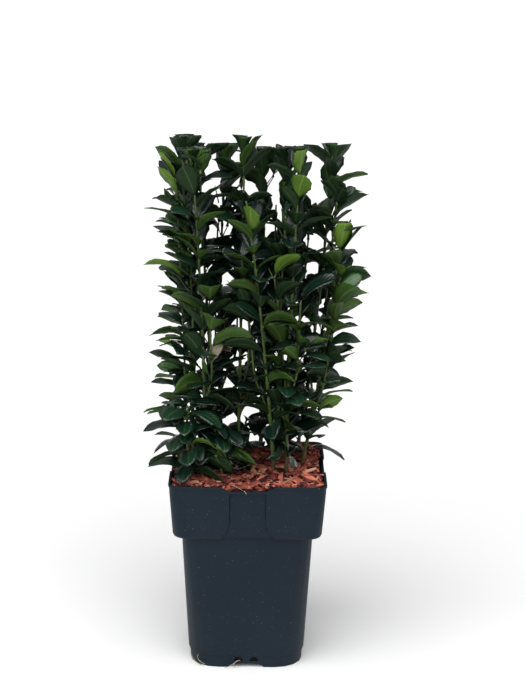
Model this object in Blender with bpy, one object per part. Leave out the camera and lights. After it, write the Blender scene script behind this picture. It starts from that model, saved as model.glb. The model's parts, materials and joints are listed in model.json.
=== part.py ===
# A green spire Japanese spindle in its square nursery pot: a clump of upright shoots with paired leaves,
# clipped level at the top, standing in potting soil under a layer of bark chips.
# Metres, +Z up. The origin is the middle of the pot's flat underside, and -Y is the front.

import math
import random
from collections import namedtuple

import bmesh
import bpy
from mathutils import Matrix, Vector
from mathutils.bvhtree import BVHTree

# The pot, a square container whose upper part steps out into a collar
POT_HEIGHT = 0.190
RIM_WIDTH = 0.150
RIM_LIP_HEIGHT = 0.0025
RIM_LIP_OUT = 0.0005
COLLAR_HEIGHT = 0.053
COLLAR_FOOT_WIDTH = 0.142
COLLAR_EDGE = 0.0025
BODY_TOP_WIDTH = 0.1255
BODY_FOOT_WIDTH = 0.1125
FOOT_BAND_HEIGHT = 0.0115
FOOT_BAND_IN = 0.0014
WALL = 0.0016
FLOOR = 0.006
RIM_CORNER = 0.009
COLLAR_CORNER = 0.012
BODY_CORNER = 0.015
FOOT_CORNER = 0.027
CORNER_STEPS = 4

# The label recess in the middle of each side of the collar, and the dip in the rim above it
RECESS_DEPTH = 0.003
RECESS_WIDTH = 0.035
RECESS_FLARE_WIDTH = 0.052
RECESS_FLARE_HEIGHT = 0.016
RECESS_SLOPE = 0.001
DIP_DEPTH = 0.0046
DIP_TOP_WIDTH = 0.052
DIP_LIP = 0.0023

# The arch under each side of the foot, and the two drain holes above it
ARCH_WIDTH = 0.034
ARCH_HEIGHT = 0.004
ARCH_REACH = 0.016
DRAIN_WIDTH = 0.008
DRAIN_HEIGHT = 0.0042
DRAIN_SPACING = 0.015

# What fills the pot
GAP = 0.0003
SOIL_TOP = 0.1735
MULCH_TOP = 0.1835
MULCH_EDGE_TOP = 0.1815
MULCH_BUMP = 0.0022
MULCH_RINGS = 4
MULCH_SEED = 11

# The shoots
STEM_FOOT_RADIUS = 0.0026
STEM_RADIUS = 0.0019
STEM_TIP_RADIUS = 0.0011
FLARE_HEIGHT = 0.014
STEM_SIDES = 6
FOLIAGE_STEM_SIDES = 3
FOLIAGE_STEM_RINGS = 8

# The leaves, in opposite pairs, each pair turned a quarter from the one below
INTERNODE = 0.0160
CROWDING = 0.62
LEAF_LENGTH = 0.0445
LEAF_WIDTH_SHARE = 0.47
LEAF_THICKNESS = 0.0010
LEAF_SHOULDER = (0.30, 0.80)
LEAF_BROADEST = (0.68, 0.96)
LEAF_KEEL_AT = 0.5
LEAF_ROOT_PAST_AXIS = 0.0005
LEAF_FOLD = 0.12
LIGHT_FROM = Vector((0.35, 0.94, 0.0))
LIGHT_ROLL_DEG = 20.0
ROLL_SPREAD_DEG = 25.0
RISE_DEG = (66, 80)
RISE_SPREAD_DEG = 8
DROOP_DEG = (-14, 14)
DROOP_SPREAD_DEG = 15
TIP_LIFT_DEG = 44
YOUNG_FROM = 0.72
YOUNG_SCALE = 0.74
TRY_TURNS_DEG = (0, 10, -10, 20, -20, 32, -32, 12, -12)
TRY_TILTS_DEG = (0, 6, -6, 12, 8, 0, -8, 20, 20)
TRY_SIZES = (1, 1, 1, 0.95, 0.95, 0.9, 0.9, 0.78, 0.78)
CLEARANCE = 0.0006

# The short side twigs in some leaf axils
TWIG_SHARE = 0.03
TWIG_LENGTH = 0.020
TWIG_RADIUS = 0.0008
TWIG_LEAF_SCALE = 0.74

# One upright shoot: where it leaves the soil and where it was clipped, how far its middle bows sideways,
# which way its first leaf pair points, and how high its lowest leaves start above the bark chips.
Shoot = namedtuple("Shoot", "name foot head top bow phase_deg bare seed")

SHOOTS = (
    Shoot("front_left", (-0.041, -0.012), (-0.055, -0.030), 0.503, (0.003, 0.0), 48, 0.012, 101),
    Shoot("low_left", (-0.052, -0.034), (-0.058, -0.044), 0.258, (-0.002, 0.0), 75, 0.006, 112),
    Shoot("low_front", (-0.024, -0.034), (-0.028, -0.046), 0.250, (0.0, -0.001), 40, 0.006, 113),
    Shoot("left", (-0.053, 0.022), (-0.067, 0.012), 0.508, (0.002, 0.002), 66, 0.018, 102),
    Shoot("inner_left", (-0.028, 0.022), (-0.050, 0.032), 0.499, (-0.002, 0.002), 12, 0.026, 103),
    Shoot("back_left", (-0.026, 0.052), (-0.024, 0.060), 0.494, (-0.004, 0.003), 60, 0.030, 104),
    Shoot("centre", (-0.010, 0.004), (-0.006, 0.010), 0.509, (0.000, 0.002), 20, 0.034, 105),
    Shoot("front_centre", (0.026, -0.022), (-0.004, -0.036), 0.455, (0.003, 0.0), 2, 0.030, 106),
    Shoot("front_right", (0.037, -0.024), (0.047, -0.022), 0.503, (-0.003, -0.002), 4, 0.034, 107),
    Shoot("right", (0.050, 0.004), (0.088, 0.002), 0.430, (0.003, 0.0), 84, 0.024, 108),
    Shoot("back_right", (0.046, 0.040), (0.079, 0.040), 0.498, (0.004, 0.002), 100, 0.030, 109),
    Shoot("back_centre", (0.012, 0.050), (0.012, 0.058), 0.491, (0.002, 0.004), 80, 0.030, 110),
    Shoot("inner_right", (0.024, 0.018), (0.033, 0.016), 0.498, (0.002, 0.002), 52, 0.034, 111),
)

# One leaf: its root, the level direction it leaves in, its length and width, the angles above the level of
# its midrib at the root and at the tip, and its roll about the midrib.
Leaf = namedtuple("Leaf", "root out length width rise droop roll")


def clear_scene():
    for thing in list(bpy.data.objects):
        bpy.data.objects.remove(thing)


def material(name, colour, roughness, metallic=0.0):
    made = bpy.data.materials.new(name)
    made.use_nodes = True
    shader = made.node_tree.nodes["Principled BSDF"]
    shader.inputs["Base Color"].default_value = (*colour, 1.0)
    shader.inputs["Roughness"].default_value = roughness
    shader.inputs["Metallic"].default_value = metallic
    return made


def object_from(name, points, faces, look):
    mesh = bpy.data.meshes.new(name)
    mesh.from_pydata([tuple(p) for p in points], [], faces)
    mesh.materials.append(look)
    made = bpy.data.objects.new(name, mesh)
    bpy.context.scene.collection.objects.link(made)
    return made


def apply_boolean(target, operation, solver, cutter=None, cutters=None):
    """Joins or cuts target with one object, or with a collection of them, and removes what was used."""
    step = target.modifiers.new("join", "BOOLEAN")
    step.operation = operation
    step.solver = solver
    if cutters is None:
        step.object = cutter
        used = [cutter]
    else:
        step.operand_type = "COLLECTION"
        step.collection = cutters
        used = list(cutters.objects)
    bpy.context.view_layer.objects.active = target
    bpy.ops.object.modifier_apply(modifier=step.name)
    for thing in used:
        bpy.data.objects.remove(thing)
    if cutters is not None:
        bpy.data.collections.remove(cutters)


def keep_largest_piece(thing):
    """Drops loose scraps, such as a leaf tip left over by the clipping."""
    work = bmesh.new()
    work.from_mesh(thing.data)
    unseen = set(work.verts)
    pieces = []
    while unseen:
        todo = [unseen.pop()]
        piece = set(todo)
        while todo:
            vert = todo.pop()
            near = {edge.other_vert(vert) for edge in vert.link_edges} - piece
            piece |= near
            todo.extend(near)
        unseen -= piece
        pieces.append(piece)
    pieces.sort(key=len)
    scraps = [vert for piece in pieces[:-1] for vert in piece]
    bmesh.ops.delete(work, geom=scraps, context="VERTS")
    work.to_mesh(thing.data)
    work.free()


# Pot, soil and bark chips

def square_ring(height, width, corner, recess_half, recess_depth, slope=RECESS_SLOPE):
    """A level rounded square, counterclockwise from above, with a recess in the middle of each side."""
    half = width / 2
    side = [
        Vector((-recess_half, -half, height)),
        Vector((-recess_half + slope, -half + recess_depth, height)),
        Vector((recess_half - slope, -half + recess_depth, height)),
        Vector((recess_half, -half, height)),
    ]
    centre = Vector((half - corner, -half + corner, height))
    for step in range(CORNER_STEPS + 1):
        turn = math.radians(-90 + 90 * step / CORNER_STEPS)
        side.append(centre + corner * Vector((math.cos(turn), math.sin(turn), 0)))
    return [Matrix.Rotation(math.radians(90 * n), 3, "Z") @ point for n in range(4) for point in side]


def collar_width(height):
    """The collar's outer width between its lower edge and the rim."""
    low = POT_HEIGHT - COLLAR_HEIGHT + COLLAR_EDGE
    share = (height - low) / (POT_HEIGHT - low)
    return COLLAR_FOOT_WIDTH + share * (RIM_WIDTH - 2 * RIM_LIP_OUT - COLLAR_FOOT_WIDTH)


def recess_half_width(height):
    """Half the width of the label recess: straight above, flaring out towards the collar's lower edge."""
    above = height - (POT_HEIGHT - COLLAR_HEIGHT)
    share = max(0.0, 1 - above / RECESS_FLARE_HEIGHT)
    return (RECESS_WIDTH + (RECESS_FLARE_WIDTH - RECESS_WIDTH) * share**2) / 2


def collar_corner(height):
    share = (height - (POT_HEIGHT - COLLAR_HEIGHT)) / COLLAR_HEIGHT
    return COLLAR_CORNER + share * (RIM_CORNER - COLLAR_CORNER)


def pot_profile():
    """(height, width, corner, half recess width, recess depth) of each outer ring, from the foot up."""
    collar_low = POT_HEIGHT - COLLAR_HEIGHT
    recess_top = POT_HEIGHT - DIP_DEPTH - DIP_LIP
    straight = RECESS_WIDTH / 2
    foot_width = BODY_FOOT_WIDTH - 2 * FOOT_BAND_IN
    rings = [
        (0.0, foot_width - FOOT_BAND_IN, FOOT_CORNER, straight, 0.0),
        (FOOT_BAND_HEIGHT, foot_width, FOOT_CORNER, straight, 0.0),
        (FOOT_BAND_HEIGHT + FOOT_BAND_IN, BODY_FOOT_WIDTH, FOOT_CORNER, straight, 0.0),
        (collar_low, BODY_TOP_WIDTH, BODY_CORNER, RECESS_FLARE_WIDTH / 2, 0.0),
        (collar_low, COLLAR_FOOT_WIDTH - COLLAR_EDGE, COLLAR_CORNER, RECESS_FLARE_WIDTH / 2, RECESS_DEPTH),
    ]
    for above in (COLLAR_EDGE, RECESS_FLARE_HEIGHT / 2, RECESS_FLARE_HEIGHT):
        height = collar_low + above
        rings.append(
            (height, collar_width(height), collar_corner(height), recess_half_width(height), RECESS_DEPTH)
        )
    rings.append((recess_top - RECESS_SLOPE, collar_width(recess_top), RIM_CORNER, straight, RECESS_DEPTH))
    rings.append((recess_top, collar_width(recess_top), RIM_CORNER, straight, 0.0))
    lip = POT_HEIGHT - RIM_LIP_HEIGHT
    rings.append((lip, collar_width(lip), RIM_CORNER, straight, 0.0))
    rings.append((lip + RIM_LIP_OUT, RIM_WIDTH, RIM_CORNER, straight, 0.0))
    rings.append((POT_HEIGHT, RIM_WIDTH, RIM_CORNER, straight, 0.0))
    return rings


def inside_rings(offset, low, high):
    """The pot's inner skin moved in by offset, between two heights, from the lower one up.

    Above the ledge the wall steps out, so the inner ledge lies one wall above the outer one.
    """
    ledge = POT_HEIGHT - COLLAR_HEIGHT + WALL
    body_share = (ledge - FOOT_BAND_HEIGHT) / (POT_HEIGHT - COLLAR_HEIGHT - FOOT_BAND_HEIGHT)
    body_top = BODY_FOOT_WIDTH + body_share * (BODY_TOP_WIDTH - BODY_FOOT_WIDTH)
    recess_top = POT_HEIGHT - DIP_DEPTH - DIP_LIP
    flare = RECESS_FLARE_WIDTH / 2
    rings = [
        (low, BODY_FOOT_WIDTH - 4 * FOOT_BAND_IN, FOOT_CORNER, flare, 0.0),
        (FOOT_BAND_HEIGHT, BODY_FOOT_WIDTH - 4 * FOOT_BAND_IN, FOOT_CORNER, flare, 0.0),
        (FOOT_BAND_HEIGHT + 3 * FOOT_BAND_IN, BODY_FOOT_WIDTH, FOOT_CORNER, flare, 0.0),
        (ledge + offset - WALL, body_top, BODY_CORNER, flare, 0.0),
        (ledge + offset - WALL, collar_width(ledge), COLLAR_CORNER, flare + offset, RECESS_DEPTH),
    ]
    for above in (RECESS_FLARE_HEIGHT / 2, RECESS_FLARE_HEIGHT):
        height = POT_HEIGHT - COLLAR_HEIGHT + above
        rings.append(
            (
                height,
                collar_width(height),
                collar_corner(height),
                recess_half_width(height) + offset,
                RECESS_DEPTH,
            )
        )
    straight = RECESS_WIDTH / 2 + offset
    top = min(high, recess_top - RECESS_SLOPE)
    rings.append((top, collar_width(top), RIM_CORNER, straight, RECESS_DEPTH))
    if high > recess_top:
        rings.append((recess_top + offset, collar_width(recess_top), RIM_CORNER, straight, 0.0))
        rings.append((high, collar_width(POT_HEIGHT), RIM_CORNER, straight, 0.0))
    return [
        square_ring(height, width - 2 * offset, max(corner - offset, 0.002), half, depth)
        for height, width, corner, half, depth in rings
    ]


def loft(name, rings, look, inner=None):
    """Skins rings in order from the foot up. With inner rings it is a wall with a floor, otherwise solid."""
    path = list(rings) + (list(reversed(inner)) if inner else [])
    count = len(path[0])
    points = [point for ring in path for point in ring]
    faces = [tuple(reversed(range(count)))]
    for level in range(len(path) - 1):
        for n in range(count):
            ahead = (n + 1) % count
            low = level * count
            faces.append((low + n, low + ahead, low + count + ahead, low + count + n))
    faces.append(tuple(range((len(path) - 1) * count, len(path) * count)))
    return object_from(name, points, faces, look)


def prism(name, outline, length, axis):
    """An upright outline of (across, height) points, stretched evenly both ways along a level axis."""
    along = Vector(axis) * length / 2
    across = Vector((axis[1], -axis[0], 0))
    ends = [
        [across * x + Vector((0, 0, z)) + end for x, z in outline]
        for end in (-along, along)
    ]
    count = len(outline)
    faces = [tuple(range(count)), tuple(reversed(range(count, 2 * count)))]
    for n in range(count):
        ahead = (n + 1) % count
        faces.append((ahead, n, count + n, count + ahead))
    made = object_from(name, ends[0] + ends[1], faces, bpy.data.materials["pot plastic"])
    point_outwards(made)
    return made


def point_outwards(thing):
    work = bmesh.new()
    work.from_mesh(thing.data)
    bmesh.ops.recalc_face_normals(work, faces=work.faces)
    work.to_mesh(thing.data)
    work.free()


def dip_outline():
    """The dip cut out of the rim: level at the bottom, with sloping ends."""
    low = POT_HEIGHT - DIP_DEPTH
    over = 0.003
    slope = (DIP_TOP_WIDTH - RECESS_WIDTH) / 2 * over / DIP_DEPTH
    half_top = DIP_TOP_WIDTH / 2 + slope
    half_low = RECESS_WIDTH / 2
    high = POT_HEIGHT + over
    return [(-half_low, low), (half_low, low), (half_top, high), (-half_top, high)]


def arch_outline():
    """The low arch under one side of the foot, with its lower edge below the ground plane."""
    half = ARCH_WIDTH / 2
    under = -0.002
    steps = 8
    curve = [
        (half * math.cos(math.pi * n / steps), ARCH_HEIGHT * math.sin(math.pi * n / steps) ** 0.6)
        for n in range(1, steps)
    ]
    return [(-half, under), (half, under), (half, 0.0), *curve, (-half, 0.0)]


def drain_outline(middle):
    low = ARCH_HEIGHT + 0.0022
    half = DRAIN_WIDTH / 2
    high = low + DRAIN_HEIGHT
    shoulder = 0.0022
    return [
        (middle - half, low),
        (middle + half, low),
        (middle + half, high - shoulder),
        (middle + half - shoulder, high),
        (middle - half + shoulder, high),
        (middle - half, high - shoulder),
    ]


def make_pot(look):
    outer = [square_ring(*ring) for ring in pot_profile()]
    pot = loft("pot", outer, look, inside_rings(WALL, FLOOR, POT_HEIGHT))
    cuts = bpy.data.collections.new("cuts")
    for axis in ((1, 0, 0), (0, 1, 0)):
        cuts.objects.link(prism("rim dip", dip_outline(), 1.2 * RIM_WIDTH, axis))
    reach = BODY_FOOT_WIDTH / 2
    for turn in range(4):
        side = Matrix.Rotation(math.radians(90 * turn), 4, "Z")
        pieces = [prism("arch", arch_outline(), 2 * ARCH_REACH, (0, 1, 0))]
        for middle in (-DRAIN_SPACING / 2, DRAIN_SPACING / 2):
            pieces.append(prism("drain", drain_outline(middle), ARCH_REACH, (0, 1, 0)))
        for piece in pieces:
            piece.data.transform(side @ Matrix.Translation((0, -reach, 0)))
            cuts.objects.link(piece)
    apply_boolean(pot, "DIFFERENCE", "EXACT", cutters=cuts)
    pot.data.shade_smooth()
    pot.data.set_sharp_from_angle(angle=math.radians(30))
    return pot


def make_soil(look):
    return loft("potting_soil", inside_rings(WALL + GAP, FLOOR + GAP, SOIL_TOP), look)


def make_mulch(look, stems):
    """A bumpy layer of bark on the soil, open around each stem."""
    draw = random.Random(MULCH_SEED)
    low = SOIL_TOP + GAP
    straight = RECESS_WIDTH / 2 + WALL + GAP
    offset = WALL + GAP
    edges = [
        square_ring(height, collar_width(height) - 2 * offset, RIM_CORNER - offset, straight, RECESS_DEPTH)
        for height in (low, MULCH_EDGE_TOP)
    ]
    count = len(edges[0])
    points = edges[0] + edges[1]
    for ring in range(1, MULCH_RINGS):
        share = 1 - ring / MULCH_RINGS
        for point in edges[1]:
            rise = MULCH_TOP - MULCH_EDGE_TOP + MULCH_BUMP * draw.uniform(-1, 1)
            points.append(Vector((point.x * share, point.y * share, point.z + rise)))
    points.append(Vector((0, 0, MULCH_TOP)))
    faces = [tuple(reversed(range(count)))]
    for level in range(MULCH_RINGS):
        for n in range(count):
            ahead = (n + 1) % count
            base = level * count
            faces.append((base + n, base + ahead, base + count + ahead))
            faces.append((base + n, base + count + ahead, base + count + n))
    last = MULCH_RINGS * count
    for n in range(count):
        faces.append((last + n, last + (n + 1) % count, len(points) - 1))
    mulch = object_from("bark_mulch", points, faces, look)
    holes = bpy.data.collections.new("holes")
    for shoot, path in stems:
        holes.objects.link(
            tube("hole", path[:4], [STEM_FOOT_RADIUS + 2 * GAP] * 4, STEM_SIDES, look, extend=0.004)
        )
    apply_boolean(mulch, "DIFFERENCE", "EXACT", cutters=holes)
    keep_largest_piece(mulch)
    return mulch


# Stems

def shoot_point(shoot, height):
    """Where a shoot's axis is at a height: a straight lean from foot to head, bowed at half height."""
    share = (height - SOIL_TOP) / (shoot.top - SOIL_TOP)
    bow = 4 * share * (1 - share)
    x = shoot.foot[0] + share * (shoot.head[0] - shoot.foot[0]) + bow * shoot.bow[0]
    y = shoot.foot[1] + share * (shoot.head[1] - shoot.foot[1]) + bow * shoot.bow[1]
    return Vector((x, y, height))


def stem_radius(shoot, height):
    """A root flare at the soil, then an even taper to the clipped tip."""
    share = (height - SOIL_TOP) / (shoot.top - SOIL_TOP)
    flare = max(0.0, 1 - (height - SOIL_TOP) / FLARE_HEIGHT) ** 2
    taper = STEM_RADIUS + share * (STEM_TIP_RADIUS - STEM_RADIUS)
    return taper + flare * (STEM_FOOT_RADIUS - STEM_RADIUS)


def tube(name, path, radii, sides, look, extend=0.0):
    """A level-cut tube: each ring lies level round its point of the path."""
    path = [point.copy() for point in path]
    path[0].z -= extend
    path[-1].z += extend
    points = []
    for point, radius in zip(path, radii):
        for n in range(sides):
            turn = 2 * math.pi * n / sides
            points.append(point + radius * Vector((math.cos(turn), math.sin(turn), 0)))
    faces = [tuple(reversed(range(sides)))]
    for level in range(len(path) - 1):
        for n in range(sides):
            ahead = (n + 1) % sides
            low = level * sides
            faces.append((low + n, low + ahead, low + sides + ahead, low + sides + n))
    faces.append(tuple(range((len(path) - 1) * sides, len(path) * sides)))
    return object_from(name, points, faces, look)


def foliage_start(shoot):
    return MULCH_TOP + shoot.bare


def bare_stem_path(shoot):
    low = SOIL_TOP + GAP
    high = foliage_start(shoot) - GAP
    heights = [low, low + FLARE_HEIGHT / 2, low + FLARE_HEIGHT, high]
    return [shoot_point(shoot, height) for height in sorted(heights)]


def make_stem(shoot, look):
    path = bare_stem_path(shoot)
    radii = [stem_radius(shoot, point.z) for point in path]
    return tube("stem_" + shoot.name, path, radii, STEM_SIDES, look)


# Leaves

def midrib(leaf, share):
    """The point at a share of the midrib's length, which leaves steeply and arches over to its tip."""
    steps = 12
    here = leaf.root.copy()
    up = Vector((0, 0, 1))
    for step in range(steps):
        part = (step + 0.5) / steps * share
        angle = math.radians(leaf.droop + (leaf.rise - leaf.droop) * (1 - part) ** 2)
        here += (leaf.out * math.cos(angle) + up * math.sin(angle)) * leaf.length * share / steps
    return here


def blade_frame(leaf):
    """Directions along the blade, across it (level, then rolled about the midrib) and up from it."""
    along = (midrib(leaf, 1.0) - leaf.root).normalized()
    level = Vector((0, 0, 1)).cross(leaf.out).normalized()
    side = Matrix.Rotation(math.radians(leaf.roll), 3, along) @ level
    above = along.cross(side)
    return along, side, above if above.z > 0 else -above


def leaf_solid(leaf):
    """The points and the ten faces of a thin leaf: a flat-sided blade above, a shallow keel below."""
    side, above = blade_frame(leaf)[1:]
    rim = []
    for share, width_share in (LEAF_SHOULDER, LEAF_BROADEST):
        half = leaf.width * width_share / 2
        middle = midrib(leaf, share)
        rim.append([middle + turn * side * half + above * half * LEAF_FOLD for turn in (-1, 1)])
    keel = midrib(leaf, LEAF_KEEL_AT) - above * LEAF_THICKNESS
    (left_low, right_low), (left_high, right_high) = rim
    points = [leaf.root, left_low, left_high, midrib(leaf, 1.0), right_high, right_low, keel]
    top = [(0, 1, 5), (1, 2, 4), (1, 4, 5), (2, 3, 4)]
    under = [((n + 1) % 6, n, 6) for n in range(6)]
    return points, top + under


def blend(low, high, share):
    return low + (high - low) * share


def pair_heights(shoot, draw):
    """The heights of the leaf pairs, closer together towards the tip."""
    heights = []
    height = foliage_start(shoot) + 0.25 * INTERNODE
    while height < shoot.top - 0.004:
        heights.append(height)
        share = (height - MULCH_TOP) / (shoot.top - MULCH_TOP)
        height += INTERNODE * (1 - CROWDING * share**5) * draw.uniform(0.9, 1.1)
    return heights


def leaf_on(root, turn, share, scale, draw):
    """A leaf at a share of the shoot's height: low ones arch down, the topmost stand up."""
    out = Vector((math.sin(turn), -math.cos(turn), 0))
    young = max(0.0, (share - YOUNG_FROM) / (1 - YOUNG_FROM))
    rise = blend(*RISE_DEG, min(1.0, share * 2)) + draw.uniform(-RISE_SPREAD_DEG, RISE_SPREAD_DEG)
    droop = blend(*DROOP_DEG, min(1.0, share * 1.6)) + TIP_LIFT_DEG * young**1.5
    droop += draw.gauss(0, DROOP_SPREAD_DEG)
    length = LEAF_LENGTH * scale * blend(1.0, YOUNG_SCALE, young**2) * draw.uniform(0.86, 1.08)
    width = length * LEAF_WIDTH_SHARE * draw.uniform(0.9, 1.1)
    across = Vector((0, 0, 1)).cross(out)
    roll = -LIGHT_ROLL_DEG * across.dot(LIGHT_FROM) + draw.gauss(0, ROLL_SPREAD_DEG)
    return Leaf(root - out * LEAF_ROOT_PAST_AXIS, out, length, width, rise, droop, roll)


def tries_for(leaf):
    """The leaf as it would grow, then turned aside, tilted or shortened in fixed steps."""
    for turn, tilt, size in zip(TRY_TURNS_DEG, TRY_TILTS_DEG, TRY_SIZES):
        out = Matrix.Rotation(math.radians(turn), 3, "Z") @ leaf.out
        yield leaf._replace(
            out=out,
            droop=leaf.droop + tilt,
            length=leaf.length * size,
            width=leaf.width * size,
        )


def is_clear(leaf, obstacles):
    """Whether the leaf, a little larger and moved a little up and down, touches nothing."""
    larger = leaf._replace(length=leaf.length + CLEARANCE, width=leaf.width + 2 * CLEARANCE)
    points, faces = leaf_solid(larger)
    above = blade_frame(leaf)[2]
    for shift in (-CLEARANCE, 0.0, CLEARANCE):
        moved = BVHTree.FromPolygons([point + shift * above for point in points], faces)
        if any(moved.overlap(tree) for tree in obstacles):
            return False
    return True


def fitted(leaf, obstacles):
    """The first way the leaf can lie clear of its neighbours, or None."""
    return next((attempt for attempt in tries_for(leaf) if is_clear(attempt, obstacles)), None)


def twig_solid(root, tip, radius):
    """A three-sided twig from a root sunk in the stem to a blunt tip."""
    along = (tip - root).normalized()
    across = along.cross(Vector((0, 0, 1))).normalized()
    over = across.cross(along)
    points = []
    for end, size in ((root, radius), (tip, 0.6 * radius)):
        for n in range(3):
            turn = 2 * math.pi * n / 3
            points.append(end + size * (across * math.cos(turn) + over * math.sin(turn)))
    faces = [(2, 1, 0), (3, 4, 5), (0, 1, 4, 3), (1, 2, 5, 4), (2, 0, 3, 5)]
    return points, faces


def grow_foliage(shoot, obstacles):
    """The leaves and twigs of one shoot, skipping what would touch another shoot, the pot or the bark."""
    draw = random.Random(shoot.seed)
    leaves = []
    twigs = []
    for number, height in enumerate(pair_heights(shoot, draw)):
        share = (height - MULCH_TOP) / (shoot.top - MULCH_TOP)
        turn = math.radians(shoot.phase_deg + 90 * number + draw.uniform(-12, 12))
        for opposite in (0, 1):
            root = shoot_point(shoot, height + draw.uniform(-0.0012, 0.0012))
            facing = turn + math.pi * opposite + math.radians(draw.uniform(-8, 8))
            found = fitted(leaf_on(root, facing, share, 1.0, draw), obstacles)
            if found:
                leaves.append(found)
            branch = draw.random() < TWIG_SHARE and 0.08 < share < 0.9
            side = Vector((math.sin(facing), -math.cos(facing), 0))
            reach = TWIG_LENGTH * draw.uniform(0.7, 1.2)
            tip = root + side * reach * 0.5 + Vector((0, 0, reach * 0.85))
            pairs = [
                leaf_on(tip, facing + math.radians(angle), share, TWIG_LEAF_SCALE, draw)
                for angle in (85, -85, 10)
            ]
            if not branch:
                continue
            points, faces = twig_solid(root, tip, TWIG_RADIUS)
            grown = BVHTree.FromPolygons(points, faces)
            if any(grown.overlap(tree) for tree in obstacles):
                continue
            twigs.append((root, tip))
            leaves.extend(found for found in (fitted(leaf, obstacles) for leaf in pairs) if found)
    return leaves, twigs


def make_foliage(shoot, obstacles, look):
    """One shoot's foliage as one solid: its stem, twigs and leaves joined, and clipped level at the top."""
    leaves, twigs = grow_foliage(shoot, obstacles)
    low = foliage_start(shoot)
    heights = [blend(low, shoot.top, n / (FOLIAGE_STEM_RINGS - 1)) for n in range(FOLIAGE_STEM_RINGS)]
    path = [shoot_point(shoot, height) for height in heights]
    radii = [stem_radius(shoot, height) for height in heights]
    mass = tube("leaves_" + shoot.name, path, radii, FOLIAGE_STEM_SIDES, look)
    joined = bpy.data.collections.new("joined")
    for root, tip in twigs:
        joined.objects.link(object_from("twig", *twig_solid(root, tip, TWIG_RADIUS), look))
    for leaf in leaves:
        joined.objects.link(object_from("leaf", *leaf_solid(leaf), look))
    for piece in joined.objects:
        point_outwards(piece)
    apply_boolean(mass, "UNION", "MANIFOLD", cutters=joined)
    half = RIM_WIDTH
    high = shoot.top + LEAF_LENGTH
    outline = [(-half, shoot.top), (half, shoot.top), (half, high), (-half, high)]
    blade = prism("shears", outline, 2 * half, (1, 0, 0))
    apply_boolean(mass, "DIFFERENCE", "MANIFOLD", cutter=blade)
    keep_largest_piece(mass)
    print(shoot.name, len(leaves), "leaves", len(twigs), "twigs", len(mass.data.polygons), "faces")
    return mass


def tree_of(thing):
    thing.data.calc_loop_triangles()
    points = [vertex.co.copy() for vertex in thing.data.vertices]
    faces = [tuple(triangle.vertices) for triangle in thing.data.loop_triangles]
    return BVHTree.FromPolygons(points, faces)


def main():
    clear_scene()
    pot = make_pot(material("pot plastic", (0.020, 0.030, 0.040), 0.45))
    make_soil(material("potting soil", (0.020, 0.012, 0.008), 0.95))
    bark = material("stem bark", (0.075, 0.100, 0.030), 0.6)
    chips = material("bark chips", (0.300, 0.085, 0.040), 0.85)
    green = material("leaf green", (0.020, 0.062, 0.018), 0.35)
    stems = [(shoot, bare_stem_path(shoot)) for shoot in SHOOTS]
    mulch = make_mulch(chips, stems)
    for shoot in SHOOTS:
        make_stem(shoot, bark)
    solid = [tree_of(pot), tree_of(mulch)]
    axes = {}
    for shoot in SHOOTS:
        heights = [blend(SOIL_TOP, shoot.top, n / 20) for n in range(21)]
        path = [shoot_point(shoot, height) for height in heights]
        radii = [stem_radius(shoot, height) + CLEARANCE for height in heights]
        guide = tube("guide", path, radii, FOLIAGE_STEM_SIDES, bark)
        axes[shoot.name] = tree_of(guide)
        bpy.data.objects.remove(guide)
    placed = []
    for shoot in SHOOTS:
        others = [axes[other.name] for other in SHOOTS if other is not shoot]
        mass = make_foliage(shoot, solid + others + placed, green)
        placed.append(tree_of(mass))


main()
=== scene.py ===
# %% [markdown]
# A clipped evergreen spindle in a square nursery pot
#
# The real plant is a clump of thin upright shoots with glossy leaves in pairs, cut level at the top, in a
# dark plastic pot that is topped up with bark chips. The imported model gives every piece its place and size.
# Here each piece gets its looks: a moulded pot with soft edges, a bed of loose chips, ridged stems, and
# leaves with a fold, a midrib and a toothed outline, grown by the same rule as the solids.

# %% Load the frame
import json
import math
import random
from collections import namedtuple
from functools import partial

import bmesh
import bpy
import numpy as np
from mathutils import Matrix, Vector, noise
from mathutils.bvhtree import BVHTree

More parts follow.
